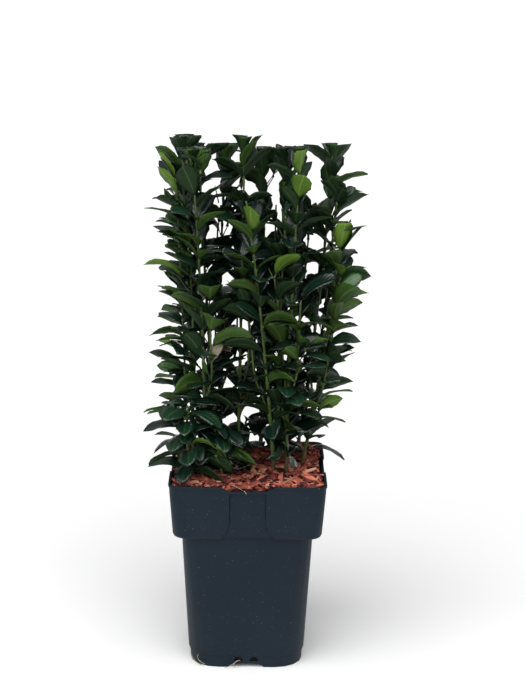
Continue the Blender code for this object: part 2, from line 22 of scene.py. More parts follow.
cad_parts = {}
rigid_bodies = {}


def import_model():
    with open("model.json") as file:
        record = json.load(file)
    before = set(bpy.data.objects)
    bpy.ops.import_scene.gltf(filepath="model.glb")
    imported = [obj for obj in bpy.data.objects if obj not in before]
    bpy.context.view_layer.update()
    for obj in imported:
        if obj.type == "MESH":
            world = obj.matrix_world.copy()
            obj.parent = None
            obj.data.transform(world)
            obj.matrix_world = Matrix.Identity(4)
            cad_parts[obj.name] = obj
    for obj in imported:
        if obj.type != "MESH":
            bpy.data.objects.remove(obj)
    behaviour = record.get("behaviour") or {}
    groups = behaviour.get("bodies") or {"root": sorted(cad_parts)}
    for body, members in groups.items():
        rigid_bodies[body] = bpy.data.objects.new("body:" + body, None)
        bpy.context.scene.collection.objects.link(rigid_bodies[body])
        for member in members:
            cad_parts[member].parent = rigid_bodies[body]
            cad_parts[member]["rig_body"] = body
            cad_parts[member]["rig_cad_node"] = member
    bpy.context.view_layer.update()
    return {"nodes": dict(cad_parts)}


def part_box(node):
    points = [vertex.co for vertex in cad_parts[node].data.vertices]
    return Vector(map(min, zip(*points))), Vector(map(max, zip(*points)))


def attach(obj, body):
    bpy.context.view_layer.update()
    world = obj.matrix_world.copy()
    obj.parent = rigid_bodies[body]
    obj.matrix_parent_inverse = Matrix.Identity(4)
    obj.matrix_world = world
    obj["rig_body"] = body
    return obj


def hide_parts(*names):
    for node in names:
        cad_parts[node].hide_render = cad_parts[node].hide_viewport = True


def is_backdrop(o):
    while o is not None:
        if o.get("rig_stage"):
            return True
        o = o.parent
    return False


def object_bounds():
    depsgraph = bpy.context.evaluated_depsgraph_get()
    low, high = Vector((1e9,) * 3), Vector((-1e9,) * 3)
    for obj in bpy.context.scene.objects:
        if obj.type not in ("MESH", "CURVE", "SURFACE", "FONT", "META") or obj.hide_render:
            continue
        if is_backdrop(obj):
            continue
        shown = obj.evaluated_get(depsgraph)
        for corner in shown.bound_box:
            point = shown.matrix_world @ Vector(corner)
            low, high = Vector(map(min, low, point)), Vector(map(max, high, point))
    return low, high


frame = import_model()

nodes = frame["nodes"]

# %% [markdown]
# The camera stands where the photograph was taken from: 1.8 m away, a little above the plant and tilted
# down, with a long lens. These values come from fitting the pot's edges. A camera could be aimed with a
# constraint, but plain turns about its own axes are easier to fit one at a time.

# %% Camera
CAMERA_PLACE = (0.0, -1.8, 0.762)
CAMERA_TILT_DEG = 14.27
CAMERA_TURN_DEG = -0.41
CAMERA_ROLL_DEG = 0.66
LENS_MM = 99.5
SENSOR_MM = 36.0


def deselect_all():
    for thing in bpy.context.selected_objects:
        thing.select_set(False)


deselect_all()
bpy.ops.object.camera_add(location=CAMERA_PLACE)
camera = bpy.context.active_object
camera.data.lens = LENS_MM
camera.data.sensor_width = SENSOR_MM
turn_axis = Matrix.Rotation(math.radians(CAMERA_TURN_DEG), 3, "Z")
tilt_axis = Matrix.Rotation(math.radians(90 - CAMERA_TILT_DEG), 3, "X")
roll_axis = Matrix.Rotation(math.radians(CAMERA_ROLL_DEG), 3, "Z")
CAMERA_TURNS = turn_axis @ tilt_axis @ roll_axis
camera.rotation_euler = CAMERA_TURNS.to_euler()
bpy.context.scene.camera = camera
bpy.context.scene.view_settings.view_transform = "Standard"
print("camera at", CAMERA_PLACE, "with a lens of", LENS_MM, "mm")

# %% [markdown]
# The light is a soft white dome with one very soft sun high in front, because the photograph has hardly any
# shadows, only dark hollows between the leaves. Three lamps would do as well, but each adds a highlight of
# its own on the glossy leaves. The dome is dimmer as a light than as a background, which keeps the hollows
# dark and the outline clear against a pale floor.

# %% Light and floor
DOME_LIGHT = 0.28
SUN_STRENGTH = 3.5
SUN_SOFT_DEG = 75.0
SUN_FROM = (-0.16, -0.72, 0.92)
FLOOR_SIZE = 60.0

deselect_all()
bpy.ops.object.light_add(type="SUN", location=SUN_FROM)
sun = bpy.context.active_object
sun.name = "soft_sun"
sun.data.energy = SUN_STRENGTH
sun.data.angle = math.radians(SUN_SOFT_DEG)
sun.rotation_euler = Vector(SUN_FROM).to_track_quat("Z", "Y").to_euler()

world = bpy.data.worlds.new("pale studio")
world.use_nodes = True
sky = world.node_tree
ray_kind = sky.nodes.new("ShaderNodeLightPath")
strength = sky.nodes.new("ShaderNodeMapRange")
strength.inputs["To Min"].default_value = DOME_LIGHT
strength.inputs["To Max"].default_value = 1.0
sky.links.new(ray_kind.outputs["Is Camera Ray"], strength.inputs["Value"])
sky.links.new(strength.outputs["Result"], sky.nodes["Background"].inputs["Strength"])
sky.nodes["Background"].inputs["Color"].default_value = (1.0, 1.0, 1.0, 1.0)
bpy.context.scene.world = world

bpy.ops.mesh.primitive_plane_add(size=FLOOR_SIZE, location=(0, 0, 0))
floor = bpy.context.active_object
floor.name = "floor"
floor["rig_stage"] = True
print("one soft sun, a dome and a floor of", FLOOR_SIZE, "m")

# %% [markdown]
# Every finish is a small tree of nodes round one Principled shader. Patterns read Object coordinates, so they
# stay put when the view turns, and colour variation comes from noise at the scale of the real thing. The
# steps that all the finishes share are small helpers, so that each finish below reads as a short recipe.

# %% Helpers for finishes
def new_finish(name, roughness, coat=0.0, specular=0.5):
    """A material with one Principled shader, and the tools to wire it."""
    finish = bpy.data.materials.new(name)
    finish.use_nodes = True
    shader = finish.node_tree.nodes["Principled BSDF"]
    shader.inputs["Roughness"].default_value = roughness
    shader.inputs["Coat Weight"].default_value = coat
    shader.inputs["Specular IOR Level"].default_value = specular
    print("finish:", name)
    return finish, finish.node_tree, shader


def add_noise(tree, source, scale, detail=3.0, stretch=(1, 1, 1)):
    """Noise on Object coordinates or another source, stretched along one axis where grain needs it."""
    mapping = tree.nodes.new("ShaderNodeMapping")
    mapping.inputs["Scale"].default_value = stretch
    grain = tree.nodes.new("ShaderNodeTexNoise")
    grain.inputs["Scale"].default_value = scale
    grain.inputs["Detail"].default_value = detail
    tree.links.new(source, mapping.inputs["Vector"])
    tree.links.new(mapping.outputs["Vector"], grain.inputs["Vector"])
    return grain.outputs["Fac"]


def add_ramp(tree, value, stops):
    """A colour ramp from (position, colour) stops."""
    ramp = tree.nodes.new("ShaderNodeValToRGB")
    entries = ramp.color_ramp.elements
    while len(entries) < len(stops):
        entries.new(0.5)
    for entry, (position, colour) in zip(entries, stops):
        entry.position = position
        entry.color = (*colour, 1.0)
    tree.links.new(value, ramp.inputs["Fac"])
    return ramp.outputs["Color"]


def add_bump(tree, shader, value, strength, distance):
    bump = tree.nodes.new("ShaderNodeBump")
    bump.inputs["Strength"].default_value = strength
    bump.inputs["Distance"].default_value = distance
    tree.links.new(value, bump.inputs["Height"])
    tree.links.new(bump.outputs["Normal"], shader.inputs["Normal"])
    return bump


def object_coordinates(tree):
    return tree.nodes.new("ShaderNodeTexCoord").outputs["Object"]


# %% Helpers for mixing values
def add_math(tree, operation, *values):
    """One step of arithmetic on numbers and sockets."""
    step = tree.nodes.new("ShaderNodeMath")
    step.operation = operation
    for socket, value in zip(step.inputs, values):
        if isinstance(value, float):
            socket.default_value = value
        else:
            tree.links.new(value, socket)
    return step.outputs["Value"]


def add_cover(tree, share, below, above):
    """A colour that is covered by one plain colour where the share is white."""
    mix = tree.nodes.new("ShaderNodeMix")
    mix.data_type = "RGBA"
    mix.inputs["B"].default_value = (*above, 1.0)
    tree.links.new(share, mix.inputs["Factor"])
    tree.links.new(below, mix.inputs["A"])
    return mix.outputs["Result"]


def paint(tree, shader, colour):
    tree.links.new(colour, shader.inputs["Base Color"])


# %% [markdown]
# The floor is a matt, nearly white sheet. It only has a breath of unevenness, so it doesn't draw the eye.

# %% Floor finish
def floor_finish():
    finish, tree, shader = new_finish("floor_sheet", 0.9, specular=0.1)
    grain = add_noise(tree, object_coordinates(tree), 3.0)
    tint = add_ramp(tree, grain, [(0.3, (0.93, 0.93, 0.93)), (0.7, (0.96, 0.96, 0.96))])
    paint(tree, shader, tint)
    return finish


floor.data.materials.append(floor_finish())

# %% [markdown]
# The pot is thin injection-moulded plastic, dark slate grey and matt, with a faint cloudiness, fine scuffs
# that run down its sides and a few pale specks of dust. The CAD solid already has its collar, label
# recesses, rim dips and foot, but moulded plastic has no sharp edges, so a copy of the solid gets a small
# bevel that catches the light along the rim and the collar.

# %% Pot finish
def pot_finish():
    finish, tree, shader = new_finish("pot_plastic", 0.5, specular=0.16)
    place = object_coordinates(tree)
    clouds = add_noise(tree, place, 14.0, 4.0)
    tint = add_ramp(tree, clouds, [(0.3, (0.0045, 0.0112, 0.0200)), (0.7, (0.0075, 0.0152, 0.0255))])
    specks = add_noise(tree, place, 900.0, 1.0)
    dust = add_ramp(tree, specks, [(0.745, (0, 0, 0)), (0.80, (1, 1, 1))])
    paint(tree, shader, add_cover(tree, dust, tint, (0.16, 0.17, 0.17)))
    scuffs = add_noise(tree, place, 60.0, 5.0, (1, 1, 0.12))
    gloss = tree.nodes.new("ShaderNodeMapRange")
    gloss.inputs["To Min"].default_value = 0.40
    gloss.inputs["To Max"].default_value = 0.62
    tree.links.new(scuffs, gloss.inputs["Value"])
    tree.links.new(gloss.outputs["Result"], shader.inputs["Roughness"])
    fine = add_noise(tree, place, 1500.0, 2.0)
    add_bump(tree, shader, fine, 0.12, 0.0002)
    return finish


# %% Moulded pot
POT_BEVEL = 0.0005
SAME_POINT = 1e-5
FLAT_DEG = 1.0
CORNER_DEG = 35
SMOOTH_DEG = 32


def merged_copy(node, name):
    """A copy of a CAD node as one joined surface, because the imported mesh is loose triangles."""
    made = nodes[node].copy()
    made.data = nodes[node].data.copy()
    made.name = name
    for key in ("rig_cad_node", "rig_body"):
        if key in made:
            del made[key]
    made.parent = None
    bpy.context.scene.collection.objects.link(made)
    work = bmesh.new()
    work.from_mesh(made.data)
    bmesh.ops.remove_doubles(work, verts=work.verts, dist=SAME_POINT)
    flat = math.radians(FLAT_DEG)
    bmesh.ops.dissolve_limit(work, angle_limit=flat, verts=work.verts, edges=work.edges)
    work.to_mesh(made.data)
    work.free()
    return made


pot = merged_copy("pot", "nursery_pot")
pot.data.materials.clear()
pot.data.materials.append(pot_finish())
deselect_all()
bpy.context.view_layer.objects.active = pot
pot.select_set(True)
edges = pot.modifiers.new("soft edges", "BEVEL")
edges.width = POT_BEVEL
edges.segments = 2
edges.limit_method = "ANGLE"
edges.angle_limit = math.radians(CORNER_DEG)
bpy.ops.object.modifier_apply(modifier=edges.name)
bpy.ops.object.shade_smooth_by_angle(angle=math.radians(SMOOTH_DEG))
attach(pot, "root")
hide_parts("pot")
print("pot faces:", len(pot.data.polygons))

# %% [markdown]
# Potting soil hardly shows: it is a dark, fibrous filling under the bark. The two filled solids stay as they
# are, because the loose chips on top make the visible surface, and they get a damp brown finish with a
# coarse relief so that any gap between the chips looks like crumbs.

# %% Soil finish
def soil_finish():
    finish, tree, shader = new_finish("damp_soil", 0.95, specular=0.2)
    crumbs = add_noise(tree, object_coordinates(tree), 260.0, 6.0)
    tint = add_ramp(tree, crumbs, [(0.35, (0.006, 0.003, 0.002)), (0.7, (0.045, 0.020, 0.012))])
    paint(tree, shader, tint)
    add_bump(tree, shader, crumbs, 0.8, 0.0015)
    return finish


soil_look = soil_finish()
for name, slot in (("potting_soil", "potting_soil"), ("bark_mulch", "bark_chips")):
    nodes[name].data.materials.clear()
    nodes[name].data.materials.append(soil_look)

# %% [markdown]
# The bark chips are splinters and flakes of red-brown conifer bark, from 5 to 30 mm long, lying every way.
# A chip is modelled once: a cube is stretched to a flake, cut across twice, and its points are pushed about
# so that it looks torn. A few such models are copied 1,500 times with their own turn, size and tilt, each
# tint in a mesh of its own, so that the colours stay plain and the number of pieces stays small.

# %% Chip finishes
# The darkest tint is partly the bark's own tone and partly painted shade, because it is dealt mostly to the
# lowest chips.
CHIP_TINTS = {
    "chips_dark": ((0.014, 0.005, 0.005), (0.066, 0.017, 0.015)),
    "chips_maroon": ((0.064, 0.013, 0.015), (0.200, 0.043, 0.042)),
    "chips_brown": ((0.150, 0.038, 0.027), (0.37, 0.100, 0.068)),
    "chips_rust": ((0.29, 0.068, 0.044), (0.58, 0.175, 0.112)),
    "chips_tan": ((0.42, 0.185, 0.110), (0.68, 0.35, 0.220)),
}


def chip_finish(name, dark, light):
    finish, tree, shader = new_finish(name, 0.85, specular=0.25)
    place = object_coordinates(tree)
    fibre = add_noise(tree, place, 420.0, 5.0)
    patches = add_noise(tree, place, 110.0, 2.0)
    both = add_math(tree, "MULTIPLY_ADD", patches, 0.6, add_math(tree, "MULTIPLY", fibre, 0.4))
    tint = add_ramp(tree, both, [(0.38, dark), (0.60, light)])
    paint(tree, shader, tint)
    add_bump(tree, shader, fibre, 0.7, 0.0006)
    return finish


# %% Chip models
CHIP_MODELS = 6
CHIP_SEED = 31
CHIP_WIDTHS = (0.18, 0.42)
CHIP_THICKNESSES = (0.09, 0.17)
CHIP_ARCH = 0.10


def model_chip(number):
    """A torn flake one unit long, made from a cube, read back as points and faces."""
    draw = random.Random(CHIP_SEED + number)
    deselect_all()
    bpy.ops.mesh.primitive_cube_add(size=1.0)
    chip = bpy.context.active_object
    chip.scale = (1.0, draw.uniform(*CHIP_WIDTHS), draw.uniform(*CHIP_THICKNESSES))
    bpy.ops.object.transform_apply(location=False, rotation=False, scale=True)
    bpy.ops.object.mode_set(mode="EDIT")
    bpy.ops.mesh.select_all(action="SELECT")
    for cut in range(2):
        bpy.ops.mesh.bisect(plane_co=(-0.2 + 0.4 * cut, 0, 0), plane_no=(1, 0.3 - 0.6 * cut, 0.1))
        bpy.ops.mesh.select_all(action="SELECT")
    bpy.ops.object.mode_set(mode="OBJECT")
    for vertex in chip.data.vertices:
        end = abs(vertex.co.x) * 2
        taper = 1 - draw.uniform(0.25, 0.75) * end**2
        vertex.co.x += draw.uniform(-0.09, 0.09)
        vertex.co.y = vertex.co.y * taper + draw.uniform(-0.035, 0.035)
        vertex.co.z = vertex.co.z * taper + draw.uniform(-0.02, 0.02)
        vertex.co.z += CHIP_ARCH * math.sin(2.2 * vertex.co.x + number)
    bpy.ops.object.mode_set(mode="EDIT")
    bpy.ops.mesh.select_all(action="SELECT")
    bpy.ops.mesh.quads_convert_to_tris()
    bpy.ops.mesh.normals_make_consistent(inside=False)
    bpy.ops.object.mode_set(mode="OBJECT")
    points = np.array([v.co for v in chip.data.vertices])
    faces = np.array([p.vertices for p in chip.data.polygons])
    bpy.data.objects.remove(chip)
    return points, faces


chip_models = [model_chip(n) for n in range(CHIP_MODELS)]
print("chip models:", len(chip_models), "faces each about", len(chip_models[0][1]))

# %% [markdown]
# The chips are dealt out over the bed by seeded chance. Each one is set down on the solid bed below it, found
# by a ray from above, and raised a little more the later it comes, so that the last ones lie on top. The
# early, low ones are mostly dark and the late, top ones mostly bright: painted shade in the gaps and painted
# light on top. A rigid body run would settle them better, but not the same way each time. Close to the wall
# a chip is pulled inwards until both its ends are inside, and round the stems they simply touch.

# %% Helpers for meshes
def blend(low, high, share):
    return low + (high - low) * share


def tree_of(thing):
    thing.data.calc_loop_triangles()
    points = [v.co.copy() for v in thing.data.vertices]
    return BVHTree.FromPolygons(points, [tuple(t.vertices) for t in thing.data.loop_triangles])


def mesh_from(name, points, faces, looks, slots=None, smooth=False):
    """One object from arrays of points and faces, with a material slot for each face if given."""
    mesh = bpy.data.meshes.new(name)
    mesh.from_pydata(points.tolist(), [], faces.tolist() if hasattr(faces, "tolist") else faces)
    for look in looks:
        mesh.materials.append(look)
    if slots is not None:
        mesh.polygons.foreach_set("material_index", slots)
    mesh.polygons.foreach_set("use_smooth", [smooth] * len(mesh.polygons))
    mesh.update()
    made = bpy.data.objects.new(name, mesh)
    bpy.context.scene.collection.objects.link(made)
    return made


# %% Edge of the bed
BED_HALF_WIDTH = 0.0724
BED_CORNER = 0.008
RECESS_HALF_WIDTH = 0.022
BED_AT_RECESS = 0.0695


def overhang(points):
    """How far a chip has to move so that it stays inside the pot's rounded square."""
    past = np.maximum(np.abs(points) - (BED_HALF_WIDTH - BED_CORNER), 0)
    away = np.hypot(past[:, 0], past[:, 1])
    worst = int(np.argmax(away))
    if away[worst] <= BED_CORNER:
        return np.zeros(2)
    step = past[worst] / away[worst] * (away[worst] - BED_CORNER)
    return step * np.sign(points[worst])


def recess_overhang(points):
    """The same for the four recesses, where the wall stands further in."""
    move = np.zeros(2)
    for axis in (0, 1):
        near = np.abs(points[:, 1 - axis]) < RECESS_HALF_WIDTH
        past = np.where(near, np.abs(points[:, axis]) - BED_AT_RECESS, 0)
        worst = int(np.argmax(past))
        if past[worst] > 0:
            move[axis] = past[worst] * np.sign(points[worst, axis])
    return move


# %% Bed of chips
CHIP_COUNT = 1500
# The shares run from mostly dark chips at the bottom to mostly bright ones on top: painted shade in the gaps,
# painted light on the top chips.
CHIP_SHARES_LOW_PAINTED_SHADE = (0.70, 0.20, 0.07, 0.03, 0.00)
CHIP_SHARES_TOP_PAINTED_LIGHT = (0.12, 0.17, 0.24, 0.34, 0.13)
TOP_FROM_SHARE = 0.6
CHIP_LENGTH = (0.0045, 0.021)
USUAL_CHIP = 0.0092
LONG_CHIP_SHARE = 0.04
LONG_CHIP = 0.028
CHIP_REACH = 0.45
CHIP_TILT_DEG = 46.0
CHIP_LIFT = 0.0004
CHIP_PILE = 0.0056
SIDE_PILE = 0.0060
SIDE_FROM_SHARE = 0.65
ABOVE_BED = 0.25


def place_chips():
    draw = random.Random(CHIP_SEED)
    bed = tree_of(nodes["bark_mulch"])
    piles = {name: ([], [], 0) for name in CHIP_TINTS}
    for number in range(CHIP_COUNT):
        rank = min(1.0, number / CHIP_COUNT / TOP_FROM_SHARE)
        shares = [blend(low, top, rank) for low, top in zip(CHIP_SHARES_LOW_PAINTED_SHADE, CHIP_SHARES_TOP_PAINTED_LIGHT)]
        name = draw.choices(list(CHIP_TINTS), shares)[0]
        points, faces = chip_models[draw.randrange(CHIP_MODELS)]
        length = draw.triangular(*CHIP_LENGTH, USUAL_CHIP)
        if draw.random() < LONG_CHIP_SHARE:
            length = LONG_CHIP * draw.uniform(0.8, 1.0)
        turn = draw.uniform(0, 2 * math.pi)
        reach = [CHIP_REACH * length * abs(math.cos(turn)), CHIP_REACH * length * abs(math.sin(turn))]
        x, y = (draw.uniform(-1, 1) * (BED_HALF_WIDTH - r) for r in reach)
        tilt = Matrix.Rotation(math.radians(draw.gauss(0, CHIP_TILT_DEG / 3)), 3, "Y")
        lean = Matrix.Rotation(math.radians(draw.gauss(0, CHIP_TILT_DEG)), 3, "X")
        spin = Matrix.Rotation(turn, 3, "Z")
        hit = bed.ray_cast(Vector((x, y, ABOVE_BED)), Vector((0, 0, -1)))[0]
        ground = hit.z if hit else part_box("bark_mulch")[0].z
        layer = CHIP_PILE * (number / CHIP_COUNT) ** 1.3
        layer += SIDE_PILE * max(0.0, abs(x) / BED_HALF_WIDTH - SIDE_FROM_SHARE) / (1 - SIDE_FROM_SHARE)
        turned = points @ np.array(spin @ tilt @ lean).T * length
        turned += np.array((x, y, ground + layer + CHIP_LIFT))
        turned[:, :2] -= overhang(turned[:, :2])
        turned[:, :2] -= recess_overhang(turned[:, :2])
        pile_points, pile_faces, count = piles[name]
        pile_points.append(turned)
        pile_faces.append(faces + count)
        piles[name] = (pile_points, pile_faces, count + len(points))
    return piles


for name, (points, faces, count) in place_chips().items():
    look = chip_finish(name, *CHIP_TINTS[name])
    chips = mesh_from(name, np.vstack(points), np.vstack(faces), [look])
    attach(chips, "root")
    print(name, len(faces), "chips")

# %% [markdown]
# The shoots follow the rule that shaped the solids. Each rises from its foot to its clipped head in a
# straight lean with a slight bow, thick at the root flare and thinner to the tip. The table gives the same
# places as the solids have. Leaves sit in opposite pairs, each pair turned a quarter from the last.

# %% Rule of growth
SOIL_TOP = 0.1735
MULCH_TOP = 0.1835
STEM_FOOT_RADIUS = 0.0026
STEM_RADIUS = 0.0018
STEM_TIP_RADIUS = 0.0009
FLARE_HEIGHT = 0.014
INTERNODE = 0.0145
LOW_INTERNODE = 0.0072
CROWDING = 0.62
TALL_FROM = 0.3

Shoot = namedtuple("Shoot", "name foot head top bow phase_deg bare seed")
SHOOTS = (
    Shoot("front_left", (-0.041, -0.012), (-0.055, -0.030), 0.503, (0.003, 0.0), 48, 0.012, 101),
    Shoot("low_left", (-0.052, -0.034), (-0.058, -0.044), 0.258, (-0.002, 0.0), 75, 0.006, 112),
    Shoot("low_front", (-0.024, -0.034), (-0.028, -0.046), 0.250, (0.0, -0.001), 40, 0.006, 113),
    Shoot("left", (-0.053, 0.022), (-0.067, 0.012), 0.508, (0.002, 0.002), 66, 0.018, 102),
    Shoot("inner_left", (-0.028, 0.022), (-0.050, 0.032), 0.499, (-0.002, 0.002), 12, 0.026, 103),
    Shoot("back_left", (-0.026, 0.052), (-0.024, 0.060), 0.494, (-0.004, 0.003), 60, 0.030, 104),
    Shoot("centre", (-0.010, 0.004), (-0.006, 0.010), 0.509, (0.000, 0.002), 20, 0.034, 105),
    Shoot("front_centre", (0.026, -0.022), (-0.004, -0.036), 0.455, (0.003, 0.0), 2, 0.030, 106),
    Shoot("front_right", (0.037, -0.024), (0.047, -0.022), 0.503, (-0.003, -0.002), 4, 0.034, 107),
    Shoot("right", (0.050, 0.004), (0.088, 0.002), 0.430, (0.003, 0.0), 84, 0.024, 108),
    Shoot("back_right", (0.046, 0.040), (0.079, 0.040), 0.498, (0.004, 0.002), 100, 0.030, 109),
    Shoot("back_centre", (0.012, 0.050), (0.012, 0.058), 0.491, (0.002, 0.004), 80, 0.030, 110),
    Shoot("inner_right", (0.024, 0.018), (0.033, 0.016), 0.498, (0.002, 0.002), 52, 0.034, 111),
)


# %% Places along a shoot
def shoot_point(shoot, height):
    """Where a shoot's axis is at a height: a straight lean from foot to head, bowed at half height."""
    share = (height - SOIL_TOP) / (shoot.top - SOIL_TOP)
    bow = 4 * share * (1 - share)
    x = shoot.foot[0] + share * (shoot.head[0] - shoot.foot[0]) + bow * shoot.bow[0]
    y = shoot.foot[1] + share * (shoot.head[1] - shoot.foot[1]) + bow * shoot.bow[1]
    return Vector((x, y, height))


def stem_radius(shoot, height):
    """A root flare at the soil, then an even taper to the clipped tip."""
    share = (height - SOIL_TOP) / (shoot.top - SOIL_TOP)
    flare = max(0.0, 1 - (height - SOIL_TOP) / FLARE_HEIGHT) ** 2
    taper = STEM_RADIUS + share * (STEM_TIP_RADIUS - STEM_RADIUS)
    return taper + flare * (STEM_FOOT_RADIUS - STEM_RADIUS)


def pair_heights(shoot, draw):
    """The heights of the leaf pairs, closer together towards the tip and on the low leafy shoots."""
    heights = []
    step = INTERNODE if shoot.top > TALL_FROM else LOW_INTERNODE
    height = MULCH_TOP + 0.4 * shoot.bare + 0.25 * INTERNODE
    while height < shoot.top - 0.003:
        heights.append(height)
        share = (height - MULCH_TOP) / (shoot.top - MULCH_TOP)
        height += step * (1 - CROWDING * share**5) * draw.uniform(0.9, 1.1)
    return heights


print("shoots:", len(SHOOTS))

# %% [markdown]
# Real shoots fork low down, and the branches rise beside them, which is what makes the lower half of the
# plant so dense. The solids keep one axis for each mass. Here every tall shoot also carries two branches
# inside the reach of its mass, leaving the axis at a gentle curve and ending at different heights.

# %% Forks
FORK_RISE = 0.055
FORK_RADIUS = 0.0011
FORK_TIP_RADIUS = 0.0008

Fork = namedtuple("Fork", "shoot start away top phase_deg seed")
FORKS = (
    Fork("front_left", 0.222, (-0.009, 0.013), 0.440, 20, 201),
    Fork("front_left", 0.240, (0.008, -0.010), 0.375, 75, 202),
    Fork("left", 0.225, (-0.006, -0.015), 0.478, 5, 203),
    Fork("left", 0.250, (0.003, 0.018), 0.450, 50, 204),
    Fork("inner_left", 0.230, (0.016, -0.010), 0.385, 35, 205),
    Fork("inner_left", 0.250, (-0.006, 0.018), 0.470, 80, 206),
    Fork("back_left", 0.235, (-0.004, -0.020), 0.460, 15, 207),
    Fork("back_left", 0.240, (0.017, 0.004), 0.455, 60, 208),
    Fork("centre", 0.228, (0.014, 0.008), 0.405, 70, 209),
    Fork("centre", 0.245, (0.008, -0.016), 0.392, 25, 210),
    Fork("front_centre", 0.225, (0.017, 0.002), 0.396, 45, 211),
    Fork("front_centre", 0.235, (-0.012, 0.010), 0.400, 85, 212),
    Fork("front_right", 0.225, (-0.010, 0.006), 0.440, 55, 213),
    Fork("front_right", 0.245, (0.008, -0.010), 0.402, 10, 214),
    Fork("right", 0.225, (0.004, -0.016), 0.372, 30, 215),
    Fork("right", 0.240, (-0.012, 0.010), 0.388, 65, 216),
    Fork("back_right", 0.235, (-0.016, 0.010), 0.446, 40, 217),
    Fork("back_right", 0.245, (0.006, -0.015), 0.444, 90, 218),
    Fork("back_centre", 0.235, (-0.014, 0.006), 0.452, 22, 219),
    Fork("back_centre", 0.240, (0.018, 0.002), 0.442, 58, 220),
    Fork("inner_right", 0.230, (0.002, -0.018), 0.450, 12, 221),
    Fork("inner_right", 0.245, (-0.008, 0.016), 0.456, 77, 222),
)
BY_NAME = {shoot.name: shoot for shoot in SHOOTS}
print("branches:", len(FORKS))


# %% Places along a branch
FIRST_PAIR = 0.012


def fork_point(fork, height):
    """A branch's axis: beside its shoot's own, after an easy curve out of it."""
    share = min(1.0, max(0.0, (height - fork.start) / FORK_RISE))
    eased = share * share * (3 - 2 * share)
    return shoot_point(BY_NAME[fork.shoot], height) + eased * Vector((*fork.away, 0))


def fork_radius(fork, height):
    return blend(FORK_RADIUS, FORK_TIP_RADIUS, (height - fork.start) / (fork.top - fork.start))


def fork_heights(fork, draw):
    heights = []
    height = fork.start + FIRST_PAIR
    while height < fork.top - 0.004:
        heights.append(height)
        share = (height - fork.start) / (fork.top - fork.start)
        height += INTERNODE * (1 - CROWDING * share**6) * draw.uniform(0.9, 1.1)
    return heights


# %% [markdown]
# Young spindle stems are green, with faint ridges below each leaf pair, and turn brown and cracked near the
# ground. A stem could be a curve with a bevel, but then its ridges and swollen joints would only be paint.
# So one ten-sided ring is modelled with bpy.ops, and copies of it are laid along each shoot and pushed in
# and out by noise and by the joints, which gives real relief.

# %% Stem finishes
def green_bark_finish():
    finish, tree, shader = new_finish("green_bark", 0.45, specular=0.4)
    place = object_coordinates(tree)
    streaks = add_noise(tree, place, 300.0, 4.0, (1, 1, 0.08))
    tint = add_ramp(tree, streaks, [(0.3, (0.045, 0.082, 0.020)), (0.7, (0.11, 0.155, 0.042))])
    paint(tree, shader, tint)
    add_bump(tree, shader, streaks, 0.5, 0.0003)
    return finish


def brown_bark_finish():
    finish, tree, shader = new_finish("brown_bark", 0.8, specular=0.2)
    place = object_coordinates(tree)
    cracks = add_noise(tree, place, 380.0, 6.0, (1, 1, 0.15))
    tint = add_ramp(tree, cracks, [(0.3, (0.060, 0.050, 0.022)), (0.7, (0.16, 0.125, 0.065))])
    paint(tree, shader, tint)
    add_bump(tree, shader, cracks, 0.8, 0.0005)
    return finish


def cut_wood_finish():
    """The pale face that the shears leave."""
    finish, tree, shader = new_finish("cut_wood", 0.7, specular=0.3)
    rings = add_noise(tree, object_coordinates(tree), 900.0, 2.0)
    tint = add_ramp(tree, rings, [(0.3, (0.30, 0.36, 0.16)), (0.7, (0.52, 0.52, 0.30))])
    paint(tree, shader, tint)
    return finish


# %% One stem
STEM_SIDES = 10
RING_STEP = 0.0022
JOINT_SWELL = 0.28
JOINT_REACH = 0.0016
BROWN_TO = 0.203
BROWN_EDGE = 0.012
BROWN_ROUGHNESS = 0.22
GREEN_ROUGHNESS = 0.07


def model_ring():
    """The lower edge of a round tube, which gives the pattern for every ring of a stem."""
    deselect_all()
    bpy.ops.mesh.primitive_cylinder_add(vertices=STEM_SIDES, radius=1.0, depth=1.0, end_fill_type="NOTHING")
    tube = bpy.context.active_object
    ring = sorted((math.atan2(v.co.y, v.co.x) for v in tube.data.vertices if v.co.z < 0))
    bpy.data.objects.remove(tube)
    return np.array(ring)


RING_TURNS = model_ring()
print("sides of a stem:", len(RING_TURNS))


def tube(heights, axis, radius, joints, seed):
    """Points, faces and slots of one upright tube with swollen joints and ridges."""
    points = []
    faces = []
    slots = []
    sides = len(RING_TURNS)
    count = len(heights) - 1
    for height in heights:
        swell = sum(math.exp(-(((height - joint) / JOINT_REACH) ** 2)) for joint in joints)
        base = radius(height) * (1 + JOINT_SWELL * min(1.0, swell))
        rough = BROWN_ROUGHNESS if height < BROWN_TO else GREEN_ROUGHNESS
        for turn in RING_TURNS:
            out = Vector((math.cos(turn), math.sin(turn), 0))
            seat = Vector((turn * 1.7, height * 150, seed))
            ridge = 1 + rough * noise.noise(seat) + 0.05 * math.cos(4 * turn)
            points.append(axis(height) + out * base * ridge)
    for ring in range(count):
        for n in range(sides):
            ahead = (n + 1) % sides
            at = ring * sides
            faces.append((at + n, at + ahead, at + sides + ahead, at + sides + n))
            edge = BROWN_TO + BROWN_EDGE * noise.noise(Vector((n, seed, 0)))
            slots.append(1 if heights[ring] < edge else 0)
    faces.append(tuple(reversed(range(sides))))
    faces.append(tuple(count * sides + n for n in range(sides)))
    return points, faces, slots + [1, 2]


def ring_heights(low, high):
    count = int((high - low) / RING_STEP)
    return [blend(low, high, n / count) for n in range(count + 1)]


# %% Wood of one shoot
ABOVE_SOIL = 0.0003
BELOW_CUT = 0.0002


